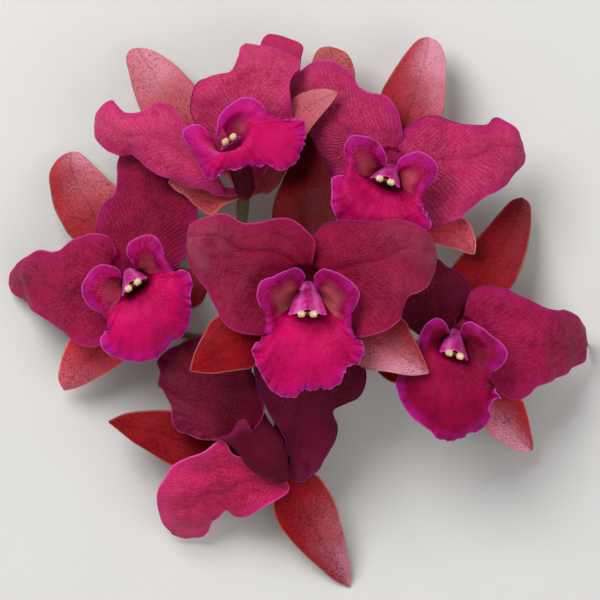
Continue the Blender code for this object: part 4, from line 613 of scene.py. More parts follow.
def lip_rim(bloom, steps):
    """Points of the lip's rim, their shares of its length and their turns round the mouth."""
    first, second, third = bloom["rim"]
    points = [place(p) for p in first + second + third]
    run = np.cumsum([0] + [np.linalg.norm(b - a) for a, b in zip(points, points[1:])])
    run = run / run[-1]
    even = np.linspace(0, 1, steps + 1)
    marks = (0, run[len(first) - 1], run[len(first) + len(second) - 1], 1)
    around = np.interp(even, LOBE_SHARES, marks)
    turns = bloom.get("turns", LOBE_TURNS)
    angle = np.radians(np.interp(even, LOBE_SHARES, turns) + bloom.get("twist", 0))
    return curve(points, around), around, angle


def lip_knots(bloom, centre, axis, steps):
    """Rings of points that the lip runs through, from its claw by tube and throat to its rim."""
    rim, around, angle = lip_rim(bloom, steps)
    down, left, look = lip_frame(bloom, axis)
    cosine, sine = np.cos(angle)[:, None], np.sin(angle)[:, None]
    claw_axis, radius, lift = bloom.get("claw", (axis, CLAW_RADIUS / MM, 0))
    claw_axis = unit(claw_axis)
    claw_down = unit(down - claw_axis * down.dot(claw_axis))
    claw_left = np.cross(claw_axis, claw_down)
    narrow = (angle * bloom.get("wrap", CLAW_WRAP))[:, None]
    claw = centre + axis * lift * MM
    claw = claw + radius * MM * (claw_down * np.cos(narrow) + claw_left * np.sin(narrow))
    wide, front, back = (value * UNIT for value in bloom["mouth"])
    reach = np.where(cosine > 0, front, back)
    middle = place(bloom["throat"]) + look * (cosine - 1) * 0.5 * bloom["dip"] * MM
    throat = middle + down * cosine * reach + left * sine * wide
    tube = claw * 0.55 + throat * 0.45 + (throat - middle) * bloom.get("waist", LIP_WAIST)
    lobe = np.clip(np.cos(angle * 0.95), 0, 1)[:, None]
    side_swell, lip_swell = bloom["swell"]
    swell = (side_swell * (1 - lobe) + lip_swell * lobe) * MM * 0.7
    shoulder = throat * 0.42 + rim * 0.58 + np.array([0, 0, 1.0]) * swell
    return np.stack([claw, tube, throat, shoulder, rim]), around, angle


def lip_grid(bloom, centre, axis, steps, rings):
    """Points of the lip, ring by ring, with the middle lobe's rim waved."""
    knots, around, angle = lip_knots(bloom, centre, axis, steps)
    at = np.linspace(0, 1, rings + 1)
    grid = np.stack([curve(knots[:, k], at) for k in range(steps + 1)], axis=1)
    for _ in range(LIP_EASING):
        eased = (grid[1:-1, :-2] + grid[1:-1, 2:]) / 2
        grid[1:-1, 1:-1] = grid[1:-1, 1:-1] * 0.5 + eased * 0.5
    frill = bloom["frill"] * MM * np.clip((at - 0.62) / 0.38, 0, 1) ** 1.5
    beat = np.sin(around * 2 * math.pi * 9) * np.clip(np.cos(angle * 1.1), 0, 1)
    grid[:, :, 2] += frill[:, None] * beat[None, :]
    return grid


def drawn(name, vertices, faces, fields=None, replaced=()):
    """New piece on the body, with a float attribute on each point for every field."""
    mesh = bpy.data.meshes.new(name)
    vertices[:, 2] = np.maximum(vertices[:, 2], FLOOR_CLEAR)
    mesh.from_pydata(vertices.tolist(), [], faces)
    mesh.update()
    for field, values in (fields or {}).items():
        mesh.attributes.new(field, "FLOAT", "POINT").data.foreach_set("value", values)
    mesh.shade_smooth()
    piece = bpy.data.objects.new(name, mesh)
    bpy.context.scene.collection.objects.link(piece)
    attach(piece, "root")
    if replaced:
        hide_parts(*replaced)
    return piece


def grid_normals(grid, way):
    """Unit normals of a grid of points, turned to the side that way points to."""
    normal = np.cross(np.gradient(grid, axis=0), np.gradient(grid, axis=1))
    normal /= np.linalg.norm(normal, axis=-1, keepdims=True) + 1e-12
    return normal if (normal * way).sum() > 0 else -normal


def shell(grid, way, thick, fields):
    """Thick sheet with a rounded margin: its points, faces and fields, with front 1 or 0."""
    rows, cols = grid.shape[:2]
    normal = grid_normals(grid, way)
    half = thick[..., None] / 2
    front, back = grid + normal * half, grid - normal * half
    count = rows * cols
    index = np.arange(count).reshape(rows, cols)
    loop = np.concatenate([index[0, :-1], index[:-1, -1], index[-1, :0:-1], index[:0:-1, 0]])
    flat = grid.reshape(-1, 3)
    ahead, behind = flat[np.roll(loop, -1)], flat[np.roll(loop, 1)]
    out = np.cross(ahead - behind, normal.reshape(-1, 3)[loop])
    out /= np.linalg.norm(out, axis=-1, keepdims=True) + 1e-12
    middle = flat.mean(0)
    if ((flat[loop] - middle) * out).sum() < 0:
        out = -out
    rim = flat[loop] + out * half.reshape(-1, 1)[loop] * 0.9
    points = np.concatenate([front.reshape(-1, 3), back.reshape(-1, 3), rim])
    a, b, c, d = index[:-1, :-1], index[:-1, 1:], index[1:, 1:], index[1:, :-1]
    quads = np.stack([a, b, c, d], -1).reshape(-1, 4)
    turn = np.cross(front[1, 0] - front[0, 0], front[0, 1] - front[0, 0])
    if turn.dot(normal[0, 0]) > 0:
        quads = quads[:, ::-1]
    follow = np.roll(loop, -1)
    ring = np.arange(len(loop)) + 2 * count
    ring_follow = np.roll(ring, -1)
    upper = np.stack([loop, follow, ring_follow, ring], -1)
    lower = np.stack([ring, ring_follow, follow + count, loop + count], -1)
    faces = np.concatenate([quads, quads[:, ::-1] + count, upper, lower])
    spread = {}
    for field, values in fields.items():
        values = values.reshape(-1)
        spread[field] = np.concatenate([values, values, values[loop]])
    spread["front"] = np.concatenate([np.ones(count), np.zeros(count), np.full(len(loop), 0.6)])
    return points, faces, spread


def gather(parts):
    """Join several shells into one list of points, faces and fields."""
    points, faces, fields, start = [], [], {}, 0
    for part_points, part_faces, part_fields in parts:
        points.append(part_points)
        faces += (part_faces + start).tolist()
        for field, values in part_fields.items():
            fields.setdefault(field, []).append(values)
        start += len(part_points)
    fields = {field: np.concatenate(values) for field, values in fields.items()}
    return np.concatenate(points), faces, fields


def soft_noise(points, scale, seed):
    """Smooth noise between -1 and 1, from a few crossed waves of about scale metres."""
    draw = np.random.default_rng(seed)
    total = np.zeros(points.shape[:-1])
    for _ in range(6):
        way = unit(draw.normal(size=3)) * 2 * math.pi / (scale * draw.uniform(0.7, 1.5))
        total += np.sin(points @ way + draw.uniform(0, 2 * math.pi))
    return total / 3


def fine_blade(blade, centre, axis, room, style, seed, free=0.5, manner=(1.0, 0.0, 0.0)):
    """Petal or sepal with veins, a middle groove, a waved margin and a thin rounded edge."""
    rows, cols = style["rows"], style["cols"]
    grid = blade_grid(blade, centre, axis, room, rows, cols, free)[:-1]
    normal = grid_normals(grid, axis)
    along = np.linspace(0, 1, rows + 1)[:-1, None] + np.zeros((1, cols + 1))
    across = np.linspace(-1, 1, cols + 1)[None, :] + np.zeros((rows, 1))
    half = np.linalg.norm(grid[:, -1] - grid[:, 0], axis=-1)[:, None] / 2
    length = np.linalg.norm(np.diff(grid[:, cols // 2], axis=0), axis=-1).sum()
    arc = along * length
    edge = np.minimum((1 - np.abs(across)) * half, (1 - along) * length)
    # painted_lightness is painted light and shade: a blade in shade is painted darker, a blade facing the
    # light lighter.
    painted_lightness, special, lean = manner
    shift = special if style["petal"] else 0.0
    # painted_sheen is a painted highlight: for a petal near its tip, for a sepal leaning to one margin.
    painted_sheen = lean * along ** 4
    if not style["petal"]:
        painted_sheen = special * np.clip(1 - abs(lean) + 1.5 * lean * across, 0.2, 1)
    turn_in = np.clip((along - 0.15) / 0.35, 0, 1)
    turn_in = turn_in * turn_in * (3 - 2 * turn_in)
    aside = np.abs(across - shift * turn_in * (1 - np.abs(across))) * half
    bend = style["feather"] * np.sqrt(aside * half.max() + (0.4 * MM) ** 2)
    feather = arc - bend
    slope = style["feather"] * 0.5 * half.max() / np.sqrt(aside * half.max() + (0.4 * MM) ** 2)
    space = length / np.sqrt(1 + slope ** 2)
    fan = feather / length
    rise = np.clip(along * 5, 0, 1) * np.clip((1 - along) * 5, 0, 1)
    ridge = np.cos(2 * math.pi * style["ribs"] * fan)
    ridge = ridge * np.clip(space / style["ribs"] / (2.4 * MM) - 0.5, 0, 1)
    groove = np.exp(-(aside / (1.9 * MM)) ** 2) - 0.6 * np.exp(-(aside / (5.5 * MM)) ** 2)
    groove = groove * rise * (1 + abs(shift))
    phase = seed * 1.7 + np.where(across > 0, 1.1, 0.0)
    frill = np.sin(2 * math.pi * arc / (8.5 * MM) + phase + 1.3 * soft_noise(grid, 20 * MM, seed))
    frill = frill * np.clip((0.9 - along) * 4, 0, 1)
    crisp = np.sin(2 * math.pi * arc / (3.4 * MM) + 2 * phase) * np.clip((0.85 - along) * 4, 0, 1)
    near = np.exp(-edge / (4.4 * MM))
    height = style["relief"] * ridge * rise - style["groove"] * groove
    height = height + style["frill"] * near * (frill + 0.15 * crisp) * rise
    height = height + style["swell"] * soft_noise(grid, 14 * MM, seed + 50) * rise
    height = height + style["pucker"] * soft_noise(grid, 4.5 * MM, seed + 80) * rise
    grid = grid + normal * height[..., None]
    thick = style["thick"] * (0.4 + 0.6 * np.clip(edge / (5 * MM), 0, 1))
    fields = {"fan": fan, "space": space / MM, "edge": edge / MM, "along": along,
              "aside": aside / MM, "painted_lightness": painted_lightness + 0 * along, "painted_sheen": painted_sheen + 0 * across}
    return shell(grid, axis, thick, fields)


PETAL_STYLE = {"petal": True, "rows": 84, "cols": 56, "thick": 0.8 * MM, "feather": 1.1,
               "ribs": 9, "relief": 0.025 * MM, "groove": 0.42 * MM, "frill": 0.36 * MM,
               "swell": 0.75 * MM, "pucker": 0.045 * MM}
SEPAL_STYLE = {"petal": False, "rows": 60, "cols": 28, "thick": 0.95 * MM, "feather": 2.6,
               "ribs": 8, "relief": 0.012 * MM, "groove": 0.16 * MM, "frill": 0.10 * MM,
               "swell": 0.22 * MM, "pucker": 0.03 * MM}


def disc_points(centre, axis, radius, deep):
    """Low rounded seat, as a shell's points, faces and fields."""
    side = unit(np.cross(axis, (0.3, 1.0, 0.2)))
    other = np.cross(axis, side)
    points, faces = [], []
    profile = [(0.02, 1.0), (0.6, 0.95), (0.9, 0.6), (1.0, 0.0), (0.9, -0.6), (0.6, -0.95),
               (0.02, -1.0)]
    for reach, height in profile:
        for k in range(24):
            turn = 2 * math.pi * k / 24
            spot = side * math.cos(turn) + other * math.sin(turn)
            points.append(centre + spot * radius * reach + axis * height * deep / 2)
    for i in range(len(profile) - 1):
        for k in range(24):
            a, b = i * 24 + k, i * 24 + (k + 1) % 24
            faces.append((a, a + 24, b + 24, b))
    points = np.array(points)
    blank = np.zeros(len(points))
    # The seat's painted lightness of 0.6 paints it darker, as painted shade among the blades' roots.
    fields = {"fan": blank, "space": blank + 1, "edge": blank + 3, "along": blank,
              "aside": blank + 3, "painted_lightness": blank + 0.6, "painted_sheen": blank, "front": blank + 1}
    return points, np.array(faces), fields


def fine_lip(name, bloom, centre, axis, steps):
    """Lip with pleats, a crisped rim, folded tucks and low keels down the middle lobe."""
    coarse = lip_grid(bloom, centre, axis, steps, LIP_FINE_RINGS)
    knots = lip_knots(bloom, centre, axis, steps)[0]
    rim = lip_rim(bloom, LIP_FINE_STEPS)[0]
    even = np.linspace(0, 1, LIP_FINE_STEPS + 1)
    grid = np.stack([curve_even(row, even) for row in coarse])
    out = np.linspace(0, 1, LIP_FINE_RINGS + 1)[:, None]
    pull = np.clip((out - 0.6) / 0.4, 0, 1) ** 2
    rim_frill = grid[-1] - curve_even(lip_rim(bloom, steps)[0], even)
    grid = grid + (rim + rim_frill - grid[-1])[None] * pull[..., None]
    spans = np.linalg.norm(np.diff(knots, axis=0), axis=-1)
    mouth = np.interp(even, np.linspace(0, 1, steps + 1), spans[:2].sum(0) / spans.sum(0))
    length = np.linalg.norm(np.diff(grid, axis=0), axis=-1)
    deep = (mouth[None, :] - out) * length.sum(0)[None, :]
    way = grid * 0
    way[0] = grid[0].mean(0) - grid[0]
    normal = grid_normals(grid, way)
    lobe = np.clip((0.27 - np.abs(even - 0.5)) / 0.05, 0, 1)[None, :] + 0 * out
    arc = np.concatenate([[0], np.cumsum(np.linalg.norm(np.diff(rim, axis=0), axis=-1))])
    edge = np.concatenate([np.cumsum(length[::-1], axis=0)[::-1], 0 * length[:1]])
    wander = 1.6 * soft_noise(rim, 18 * MM, 7)
    pleat = np.sin(2 * math.pi * arc / PLEAT + wander)[None, :]
    crisp = np.sin(2 * math.pi * arc / CRISP + 2.2 * wander)[None, :]
    near, close = np.exp(-edge / (4.0 * MM)), np.exp(-edge / (1.6 * MM))
    waves = 0.55 * near * pleat + bloom.get("crisp", 0.5) * close * crisp
    height = bloom["frill"] * MM * (0.2 + 0.8 * lobe) * waves
    keel = np.cos((even - 0.5) * 2 * math.pi * 18) * np.exp(-((even - 0.5) / 0.09) ** 2)
    body = np.clip((out - 0.35) * 6, 0, 1) * np.clip((0.9 - out) * 4, 0, 1)
    ridge = np.exp(-((deep + 1.6 * MM) / (1.5 * MM)) ** 2) * lobe
    height = height + bloom.get("brow", 0.0) * MM * ridge
    bumps = 0.5 * soft_noise(grid, 12 * MM, 11) + 0.08 * soft_noise(grid, 4 * MM, 12)
    height = height + (0.08 * keel[None, :] + bumps) * body * MM
    inward = unit_rows(grid[-6] - grid[-1])[None]
    for share, reach, lift, draw in bloom.get("tucks", ()):
        off = (arc - share * arc[-1])[None, :] / (reach * MM)
        bell = np.exp(-off ** 2) * np.exp(-edge / (3.0 * MM))
        height = height + lift * MM * bell * (0.45 + 0.55 * np.cos(off * TUCK_TURNS))
        grid = grid + inward * (draw * MM * bell)[..., None]
    grid = grid + normal * height[..., None]
    step = np.linalg.norm(np.gradient(grid, axis=1), axis=-1)
    fields = {"fan": (even - 0.5)[None, :] * 2 + 0 * out, "edge": edge / MM, "deep": deep / MM,
              "space": step * LIP_FINE_STEPS / 2 / MM, "lobe": lobe}
    thick = LIP_THICK * 0.85 * (0.45 + 0.55 * np.clip(edge / (4 * MM), 0, 1))
    points, faces, spread = shell(grid, way, thick, fields)
    return drawn(name, points, faces.tolist(), spread, [name.replace("_fine", "")])


def unit_rows(vectors):
    """Each row of vectors at unit length."""
    return vectors / (np.linalg.norm(vectors, axis=-1, keepdims=True) + 1e-12)


def curve_even(points, at):
    """Smooth curve through points that are taken as evenly spaced, read at fractions of it."""
    last = len(points) - 1
    slopes = np.gradient(points, axis=0)
    spot = np.clip(at, 0, 1) * last
    cell = np.clip(spot.astype(int), 0, last - 1)
    t = (spot - cell)[:, None]
    return ((2 * t**3 - 3 * t**2 + 1) * points[cell] + (t**3 - 2 * t**2 + t) * slopes[cell]
            + (3 * t**2 - 2 * t**3) * points[cell + 1] + (t**3 - t**2) * slopes[cell + 1])


def column_frame(bloom, centre, axis):
    """Directions along, across and up from the column, and half its width and depth at the tip."""
    down, across, look = lip_frame(bloom, axis)
    along = unit(place(bloom["tip"]) - centre)
    up = unit(np.cross(across, along))
    if up.dot(look - down) < 0:
        up = -up
    return along, across, up, bloom["hood"][0] * MM, bloom["hood"][1] * MM


def fine_column(name, bloom, centre, axis):
    """Column: a domed hood with side wings, and a hollow at its end that the pollen sits in."""
    along, across, up, half, deep = column_frame(bloom, centre, axis)
    tip = place(bloom["tip"])
    sides = 56
    stations = [(s, 1.0, 0.0) for s in np.linspace(0, 0.94, 36)]
    stations += [(0.97, 0.99, 0.0), (0.99, 0.96, 0.0), (1.0, 0.91, 0.0)]
    stations += [(1.0, 0.84, 0.05), (1.0, 0.76, 0.35), (1.0, 0.62, 0.8), (1.0, 0.4, 1.05),
                 (1.0, 0.15, 1.15)]
    points, stripe, reach, under = [], [], [], []
    for s, share, sink in stations:
        grow = s ** bloom.get("flare", COLUMN_FLARE)
        width = COLUMN_ROOT * (1 - grow) + half * grow
        height = COLUMN_ROOT * (1 - grow) + deep * grow
        spot = centre + (tip - centre) * s - along * sink * deep * 0.6
        for k in range(sides):
            turn = 2 * math.pi * k / sides
            x, y = math.cos(turn), math.sin(turn)
            dome = math.exp(-(x / 0.55) ** 2)
            if y > 0:
                lift = y * (1 - grow) + grow * (0.34 * y + 0.95 * dome * y ** 0.5)
                over = along * 0.5 * deep * grow ** 4 * y
            else:
                lift = 0.45 * y * (1 - grow) + grow * (0.30 * y + 0.12 * dome)
                over = along * 0
            points.append(spot + over * share + across * width * x * share
                          + up * height * lift * share)
            stripe.append(x)
            reach.append(s + (1 - share) * (1 if sink else 0))
            under.append(max(0.0, -y))
    rings = len(stations) - 1
    count = len(points)
    points += [centre, tip - along * 0.7 * deep]
    stripe += [0.0, 0.0]
    reach += [0.0, 2.0]
    under += [0.0, 1.0]
    faces = []
    for i in range(rings):
        for k in range(sides):
            a, b = i * sides + k, i * sides + (k + 1) % sides
            faces.append((a, b, b + sides, a + sides))
    for k in range(sides):
        follow = (k + 1) % sides
        faces.append((follow, k, count))
        faces.append((rings * sides + k, rings * sides + follow, count + 1))
    fields = {"aside": np.array(stripe), "along": np.array(reach), "under": np.array(under)}
    faces = np.array([face if len(face) == 4 else (*face, face[-1]) for face in faces])
    nose = ball(tip + up * 0.55 * deep + along * 0.5 * deep, np.array([0.42, 0.75, 0.6]) * deep * 0.5,
                np.array([across, up, along]), 24, 14)
    blank = np.zeros(len(nose[0]))
    nose = (nose[0], nose[1], {"aside": blank + 0.2, "along": blank + 1.12, "under": blank})
    points, faces, fields = gather([(np.array(points), faces, fields), nose])
    faces = [face[:3] if face[3] == face[2] else face for face in faces]
    piece = drawn(name, points, faces, fields, [name.replace("_fine", "")])
    outward(piece.data)
    return piece


def outward(mesh):
    work = bmesh.new()
    work.from_mesh(mesh)
    bmesh.ops.recalc_face_normals(work, faces=work.faces)
    work.to_mesh(mesh)
    work.free()


def ball(centre, radii, axes, sides=36, rings=22, crease=0.0):
    """Rounded lump with its radii along three axes, pinched across the first by the crease."""
    points, faces = [], []
    for i in range(rings + 1):
        tilt = math.pi * i / rings
        for k in range(sides):
            turn = 2 * math.pi * k / sides
            way = np.array([math.sin(tilt) * math.cos(turn), math.sin(tilt) * math.sin(turn),
                            math.cos(tilt)])
            way = way * (1 - crease * math.exp(-(way[0] / 0.22) ** 2))
            points.append(centre + (way * radii) @ axes)
    for i in range(rings):
        for k in range(sides):
            a, b = i * sides + k, i * sides + (k + 1) % sides
            faces.append((a, b, b + sides, a + sides))
    points = np.array(points)
    return points, np.array(faces), {"along": np.zeros(len(points))}


def fine_pollen(name, bloom, centre, axis):
    """Two waxy pollen caps, each with a crease, on a thin bridge in the column's hollow."""
    along, across, up, half, deep = column_frame(bloom, centre, axis)
    spot = place(bloom["tip"]) + up * 0.5 * deep + along * 0.5 * deep
    size = min(POLLEN, 0.62 * deep + 0.1 * MM)
    gap = min(bloom["pollen"][0] * UNIT, half * 0.34) + 0.12 * size
    axes = np.array([across, up, along])
    parts = [ball(spot + across * side * gap, np.array([1.15, 1.0, 1.3]) * size, axes,
                  crease=0.16) for side in (-1, 1)]
    parts.append(ball(spot - along * size * 0.4, np.array([gap, size * 0.3, size * 0.2]), axes,
                      20, 10))
    points, faces, fields = gather(parts)
    return drawn(name, points, faces, fields, [name.replace("_fine", "")])


def rod(knots, radii, sides, count, ribs=0.0):
    """Points and faces of a round rod through knots, closed at both ends."""
    at = np.linspace(0, 1, count + 1)
    knots = np.asarray(knots, float)
    path = curve(knots, at)
    steps = np.linalg.norm(np.diff(knots, axis=0), axis=1)
    marks = np.concatenate([[0], np.cumsum(steps)]) / steps.sum()
    radius = np.interp(at, marks, radii)
    tangent = np.gradient(path, axis=0)
    side = unit(np.cross(tangent[0], (0.13, 0.21, 1.0)))
    points = []
    for k in range(count + 1):
        along = unit(tangent[k])
        side = unit(side - along * side.dot(along))
        other = np.cross(along, side)
        for j in range(sides):
            turn = 2 * math.pi * j / sides
            reach = radius[k] * (1 + ribs * math.cos(6 * turn))
            points.append(path[k] + reach * (side * math.cos(turn) + other * math.sin(turn)))
    points += [path[0], path[-1]]
    low, high = (count + 1) * sides, (count + 1) * sides + 1
    faces = []
    for k in range(count):
        for j in range(sides):
            a, b = k * sides + j, k * sides + (j + 1) % sides
            faces.append((a, b, b + sides, a + sides))
    for j in range(sides):
        follow = (j + 1) % sides
        faces.append((follow, j, low))
        faces.append((count * sides + j, count * sides + follow, high))
    reach = np.concatenate([np.repeat(at, sides), [0, 1]])
    return np.array(points), faces, {"along": reach}


def fine_stalk():
    """Stalk, hub, and a ribbed ovary behind each bloom."""
    parts = [rod([place(p) for p in STALK],
                 [STALK_RADIUS * share for share in (1, 0.95, 1, 1.3)], 28, 60, 0.02)]
    for name, path in PEDICELS.items():
        bloom = BLOOMS[name]
        axis = unit(bloom["axis"])
        end = place(bloom["seat"]) - axis * (1.5 * SEAT_DEEP + 2 * GAP)
        run = [place(p) for p in path] + [end - axis * 7 * MM, end]
        radii = [PEDICEL_RADIUS * 1.2] + [PEDICEL_RADIUS] * (len(path) - 1)
        radii += [OVARY_RADIUS, OVARY_RADIUS * 0.95]
        parts.append(rod(run, radii, 24, 50, 0.05))
    parts = [(points, np.array([f if len(f) == 4 else (*f, f[-1]) for f in faces]), fields)
             for points, faces, fields in parts]
    points, faces, fields = gather(parts)
    faces = [f[:3] if f[3] == f[2] else f for f in faces]
    piece = drawn("stalk_fine", points, faces, fields, ["stalk"])
    outward(piece.data)
    return piece


def fine_bloom(name, bloom):
    """All pieces of one bloom, each in place of its node."""
    axis = unit(bloom["axis"])
    seat = place(bloom["seat"])
    back = seat - axis * (SEAT_DEEP + GAP)
    small = name == "rear"
    sepal_room, petal_room, free = blade_rooms(small)
    seed = 10 * list(BLOOMS).index(name)
    manners = MANNERS[name]
    sepals = [fine_blade(b, back, axis, sepal_room, SEPAL_STYLE, seed + k, free, manners[k])
              for k, b in enumerate(bloom["sepals"])]
    points, faces, fields = gather(sepals + [disc_points(back, axis, SEAT_RADIUS, SEAT_DEEP)])
    sepal = drawn(name + "_sepals_fine", points, faces, fields, [name + "_sepals"])
    petals = [fine_blade(b, seat, axis, petal_room, PETAL_STYLE, seed + 3 + k, free, manners[3 + k])
              for k, b in enumerate(bloom["petals"])]
    points, faces, fields = gather(petals + [disc_points(seat, axis, SEAT_RADIUS, SEAT_DEEP)])
    petal = drawn(name + "_petals_fine", points, faces, fields, [name + "_petals"])
    root = seat + axis * (SEAT_DEEP / 2 + GAP + LIP_THICK / 2)
    lip = fine_lip(name + "_lip_fine", bloom, root, axis, 20 if small else LIP_STEPS)
    foot = root + axis * (COLUMN_LIFT + bloom.get("claw", (0, 0, 0))[2]) * MM
    column = fine_column(name + "_column_fine", bloom, foot, axis)
    pollen = fine_pollen(name + "_pollen_fine", bloom, foot, axis)
    return {"sepal": sepal, "petal": petal, "lip": lip, "column": column, "pollen": pollen}


def linear(colour):
    """An sRGB colour of 0 to 255 as linear RGBA."""
    shares = np.array(colour) / 255
    bright = ((shares + 0.055) / 1.055) ** 2.4
    return (*np.where(shares > 0.04045, bright, shares / 12.92), 1.0)


class Nodes:
    """A material and short calls for its nodes; each call gives the socket of its result."""

    def __init__(self, name):
        self.material = bpy.data.materials.new(name)
        self.material.use_nodes = True
        self.tree = self.material.node_tree
        self.shader = self.tree.nodes["Principled BSDF"]
        self.place = self.add("ShaderNodeTexCoord").outputs["Object"]

    def add(self, kind, **settings):
        made = self.tree.nodes.new(kind)
        for key, value in settings.items():
            setattr(made, key, value)
        return made

    def feed(self, socket, value):
        if isinstance(value, bpy.types.NodeSocket):
            self.tree.links.new(value, socket)
        else:
            socket.default_value = value

    def field(self, name):
        return self.add("ShaderNodeAttribute", attribute_name=name).outputs["Fac"]

    def math(self, operation, *values):
        made = self.add("ShaderNodeMath", operation=operation)
        for socket, value in zip(made.inputs, values):
            self.feed(socket, value)
        return made.outputs[0]

    def step(self, value, start, stop, low=0.0, high=1.0):
        """Smooth step from low to high as value goes from start to stop."""
        made = self.add("ShaderNodeMapRange", interpolation_type="SMOOTHSTEP")
        for socket, number in zip(made.inputs, (value, start, stop, low, high)):
            self.feed(socket, number)
        return made.outputs[0]

    def mix(self, share, first, second, blend="MIX"):
        made = self.add("ShaderNodeMix", data_type="RGBA", blend_type=blend)
        self.feed(made.inputs[0], share)
        self.feed(made.inputs[6], first)
        self.feed(made.inputs[7], second)
        return made.outputs[2]

    def noise(self, scale, detail=3.0, rough=0.5):
        """Noise about the middle, with features of 1/scale metres."""
        made = self.add("ShaderNodeTexNoise")
        self.feed(made.inputs["Vector"], self.place)
        made.inputs["Scale"].default_value = scale
        made.inputs["Detail"].default_value = detail
        made.inputs["Roughness"].default_value = rough
        return made.outputs["Fac"]

    def lines(self, fan, space, count, width):
        """Soft fine lines, count to one of fan, drawn only where they have room."""
        off = self.math("PINGPONG", self.math("MULTIPLY", fan, count), 0.5)
        gap = self.math("DIVIDE", space, count)
        line = self.step(off, 0.5 * width, 0.5 - 0.3 * width, 1.0, 0.0)
        return self.math("MULTIPLY", line, self.step(gap, 0.35, 0.7))

    def finish(self, colour, rough, height, deep, **settings):
        """Wire colour, roughness and bump, and set the shader's own numbers."""
        self.feed(self.shader.inputs["Base Color"], colour)
        self.feed(self.shader.inputs["Roughness"], rough)
        bump = self.add("ShaderNodeBump")
        bump.inputs["Strength"].default_value = 1.0
        bump.inputs["Distance"].default_value = deep
        self.feed(bump.inputs["Height"], height)
        self.feed(self.shader.inputs["Normal"], bump.outputs[0])
        for key, value in settings.items():
            self.shader.inputs[key.replace("_", " ")].default_value = value
        return self.material


def veined(nodes, counts, width, wander):
    """Fan of lines that split as the blade widens, and the fan and space they follow."""
    space = nodes.field("space")
    shift = nodes.math("SUBTRACT", nodes.noise(190, 3.0), 0.5)
    shift = nodes.math("DIVIDE", nodes.math("MULTIPLY", shift, wander), space)
    fan = nodes.math("ADD", nodes.field("fan"), shift)
    total = nodes.lines(fan, space, counts[0], width)
    for count in counts[1:]:
        total = nodes.math("MAXIMUM", total, nodes.lines(fan, space, count, width))
    return total, fan, space


def petal_material(name, look):
    """Velvety petal: fine lighter veins on deep crimson, a grooved middle and a magenta margin."""
    nodes = Nodes(name + "_petal")
    vein, fan, space = veined(nodes, (38, 76), 0.2, 1.1)
    edge, along, aside = nodes.field("edge"), nodes.field("along"), nodes.field("aside")
    blotch = nodes.step(nodes.noise(60, 5.0, 0.65), 0.36, 0.64)
    colour = nodes.mix(blotch, linear(look["petal_dark"]), linear(look["petal"]))
    fade = nodes.step(nodes.noise(420, 4.0, 0.65), 0.36, 0.64, 0.05, 1.0)
    share = nodes.math("MULTIPLY", nodes.math("MULTIPLY", vein, fade), 0.55)
    between = nodes.math("MULTIPLY", nodes.math("SUBTRACT", fade, share), 0.27)
    colour = nodes.mix(between, colour, linear(look["petal_deep"]))
    colour = nodes.mix(share, colour, linear(look["vein"]))
    keel = nodes.step(aside, 0.1, 1.2, 0.3, 0.0)
    colour = nodes.mix(nodes.math("MULTIPLY", keel, fade), colour, linear(look["vein"]))
    # Painted shade: the petal is darkened towards its root, where the blades crowd round the column.
    root = nodes.step(along, 0.05, 0.4, 0.2, 0.0)
    colour = nodes.mix(root, colour, linear(look["petal_deep"]))
    speck = nodes.step(nodes.noise(1400, 3.0, 0.6), 0.42, 0.62, 0.0, 0.35)
    colour = nodes.mix(speck, colour, linear(look["vein"]))
    # Painted highlight: a pale pink sheen painted near the tip of some petals.
    tip_sheen = nodes.math("MULTIPLY", nodes.field("painted_sheen"),
                      nodes.step(nodes.noise(130, 5.0, 0.7), 0.36, 0.64, 0.2, 1.0))
    colour = nodes.mix(tip_sheen, colour, linear(look["tip_sheen"]))
    flush = nodes.math("MULTIPLY", nodes.step(edge, 0.2, 5.0, 0.75, 0.0),
                       nodes.step(nodes.noise(50), 0.35, 0.65, 0.4, 1.0))
    colour = nodes.mix(flush, colour, linear(look["flush"]))
    rim = nodes.step(edge, 0.05, 0.55, 0.55, 0.0)
    colour = nodes.mix(rim, colour, linear(look["rim"]))
    back = nodes.mix(share, linear(look["back"]), linear(look["vein"]))
    colour = nodes.mix(nodes.field("front"), back, colour)
    colour = with_painted_lightness(nodes, colour)
    rough = nodes.step(nodes.noise(300, 3.0), 0.3, 0.7, 0.42, 0.6)
    grain = nodes.math("MULTIPLY", nodes.noise(1500, 4.0, 0.6), 1.0)
    height = nodes.math("ADD", nodes.math("MULTIPLY", vein, 0.25), grain)
    return nodes.finish(colour, rough, height, 0.0004, Sheen_Weight=0.02, Sheen_Roughness=0.4,
                        Sheen_Tint=linear((255, 150, 200)), Specular_IOR_Level=0.1,
                        Subsurface_Weight=0.05, Subsurface_Scale=0.0015,
                        Subsurface_Radius=(1.0, 0.1, 0.25))


def with_painted_lightness(nodes, colour):
    """The colour darkened or lightened by the blade's painted lightness: painted shade and painted light
    for how light falls on that blade.
    """
    painted_lightness = nodes.field("painted_lightness")
    grey = nodes.add("ShaderNodeCombineColor")
    for socket in grey.inputs[:3]:
        nodes.feed(socket, painted_lightness)
    return nodes.mix(1.0, colour, grey.outputs[0], "MULTIPLY")


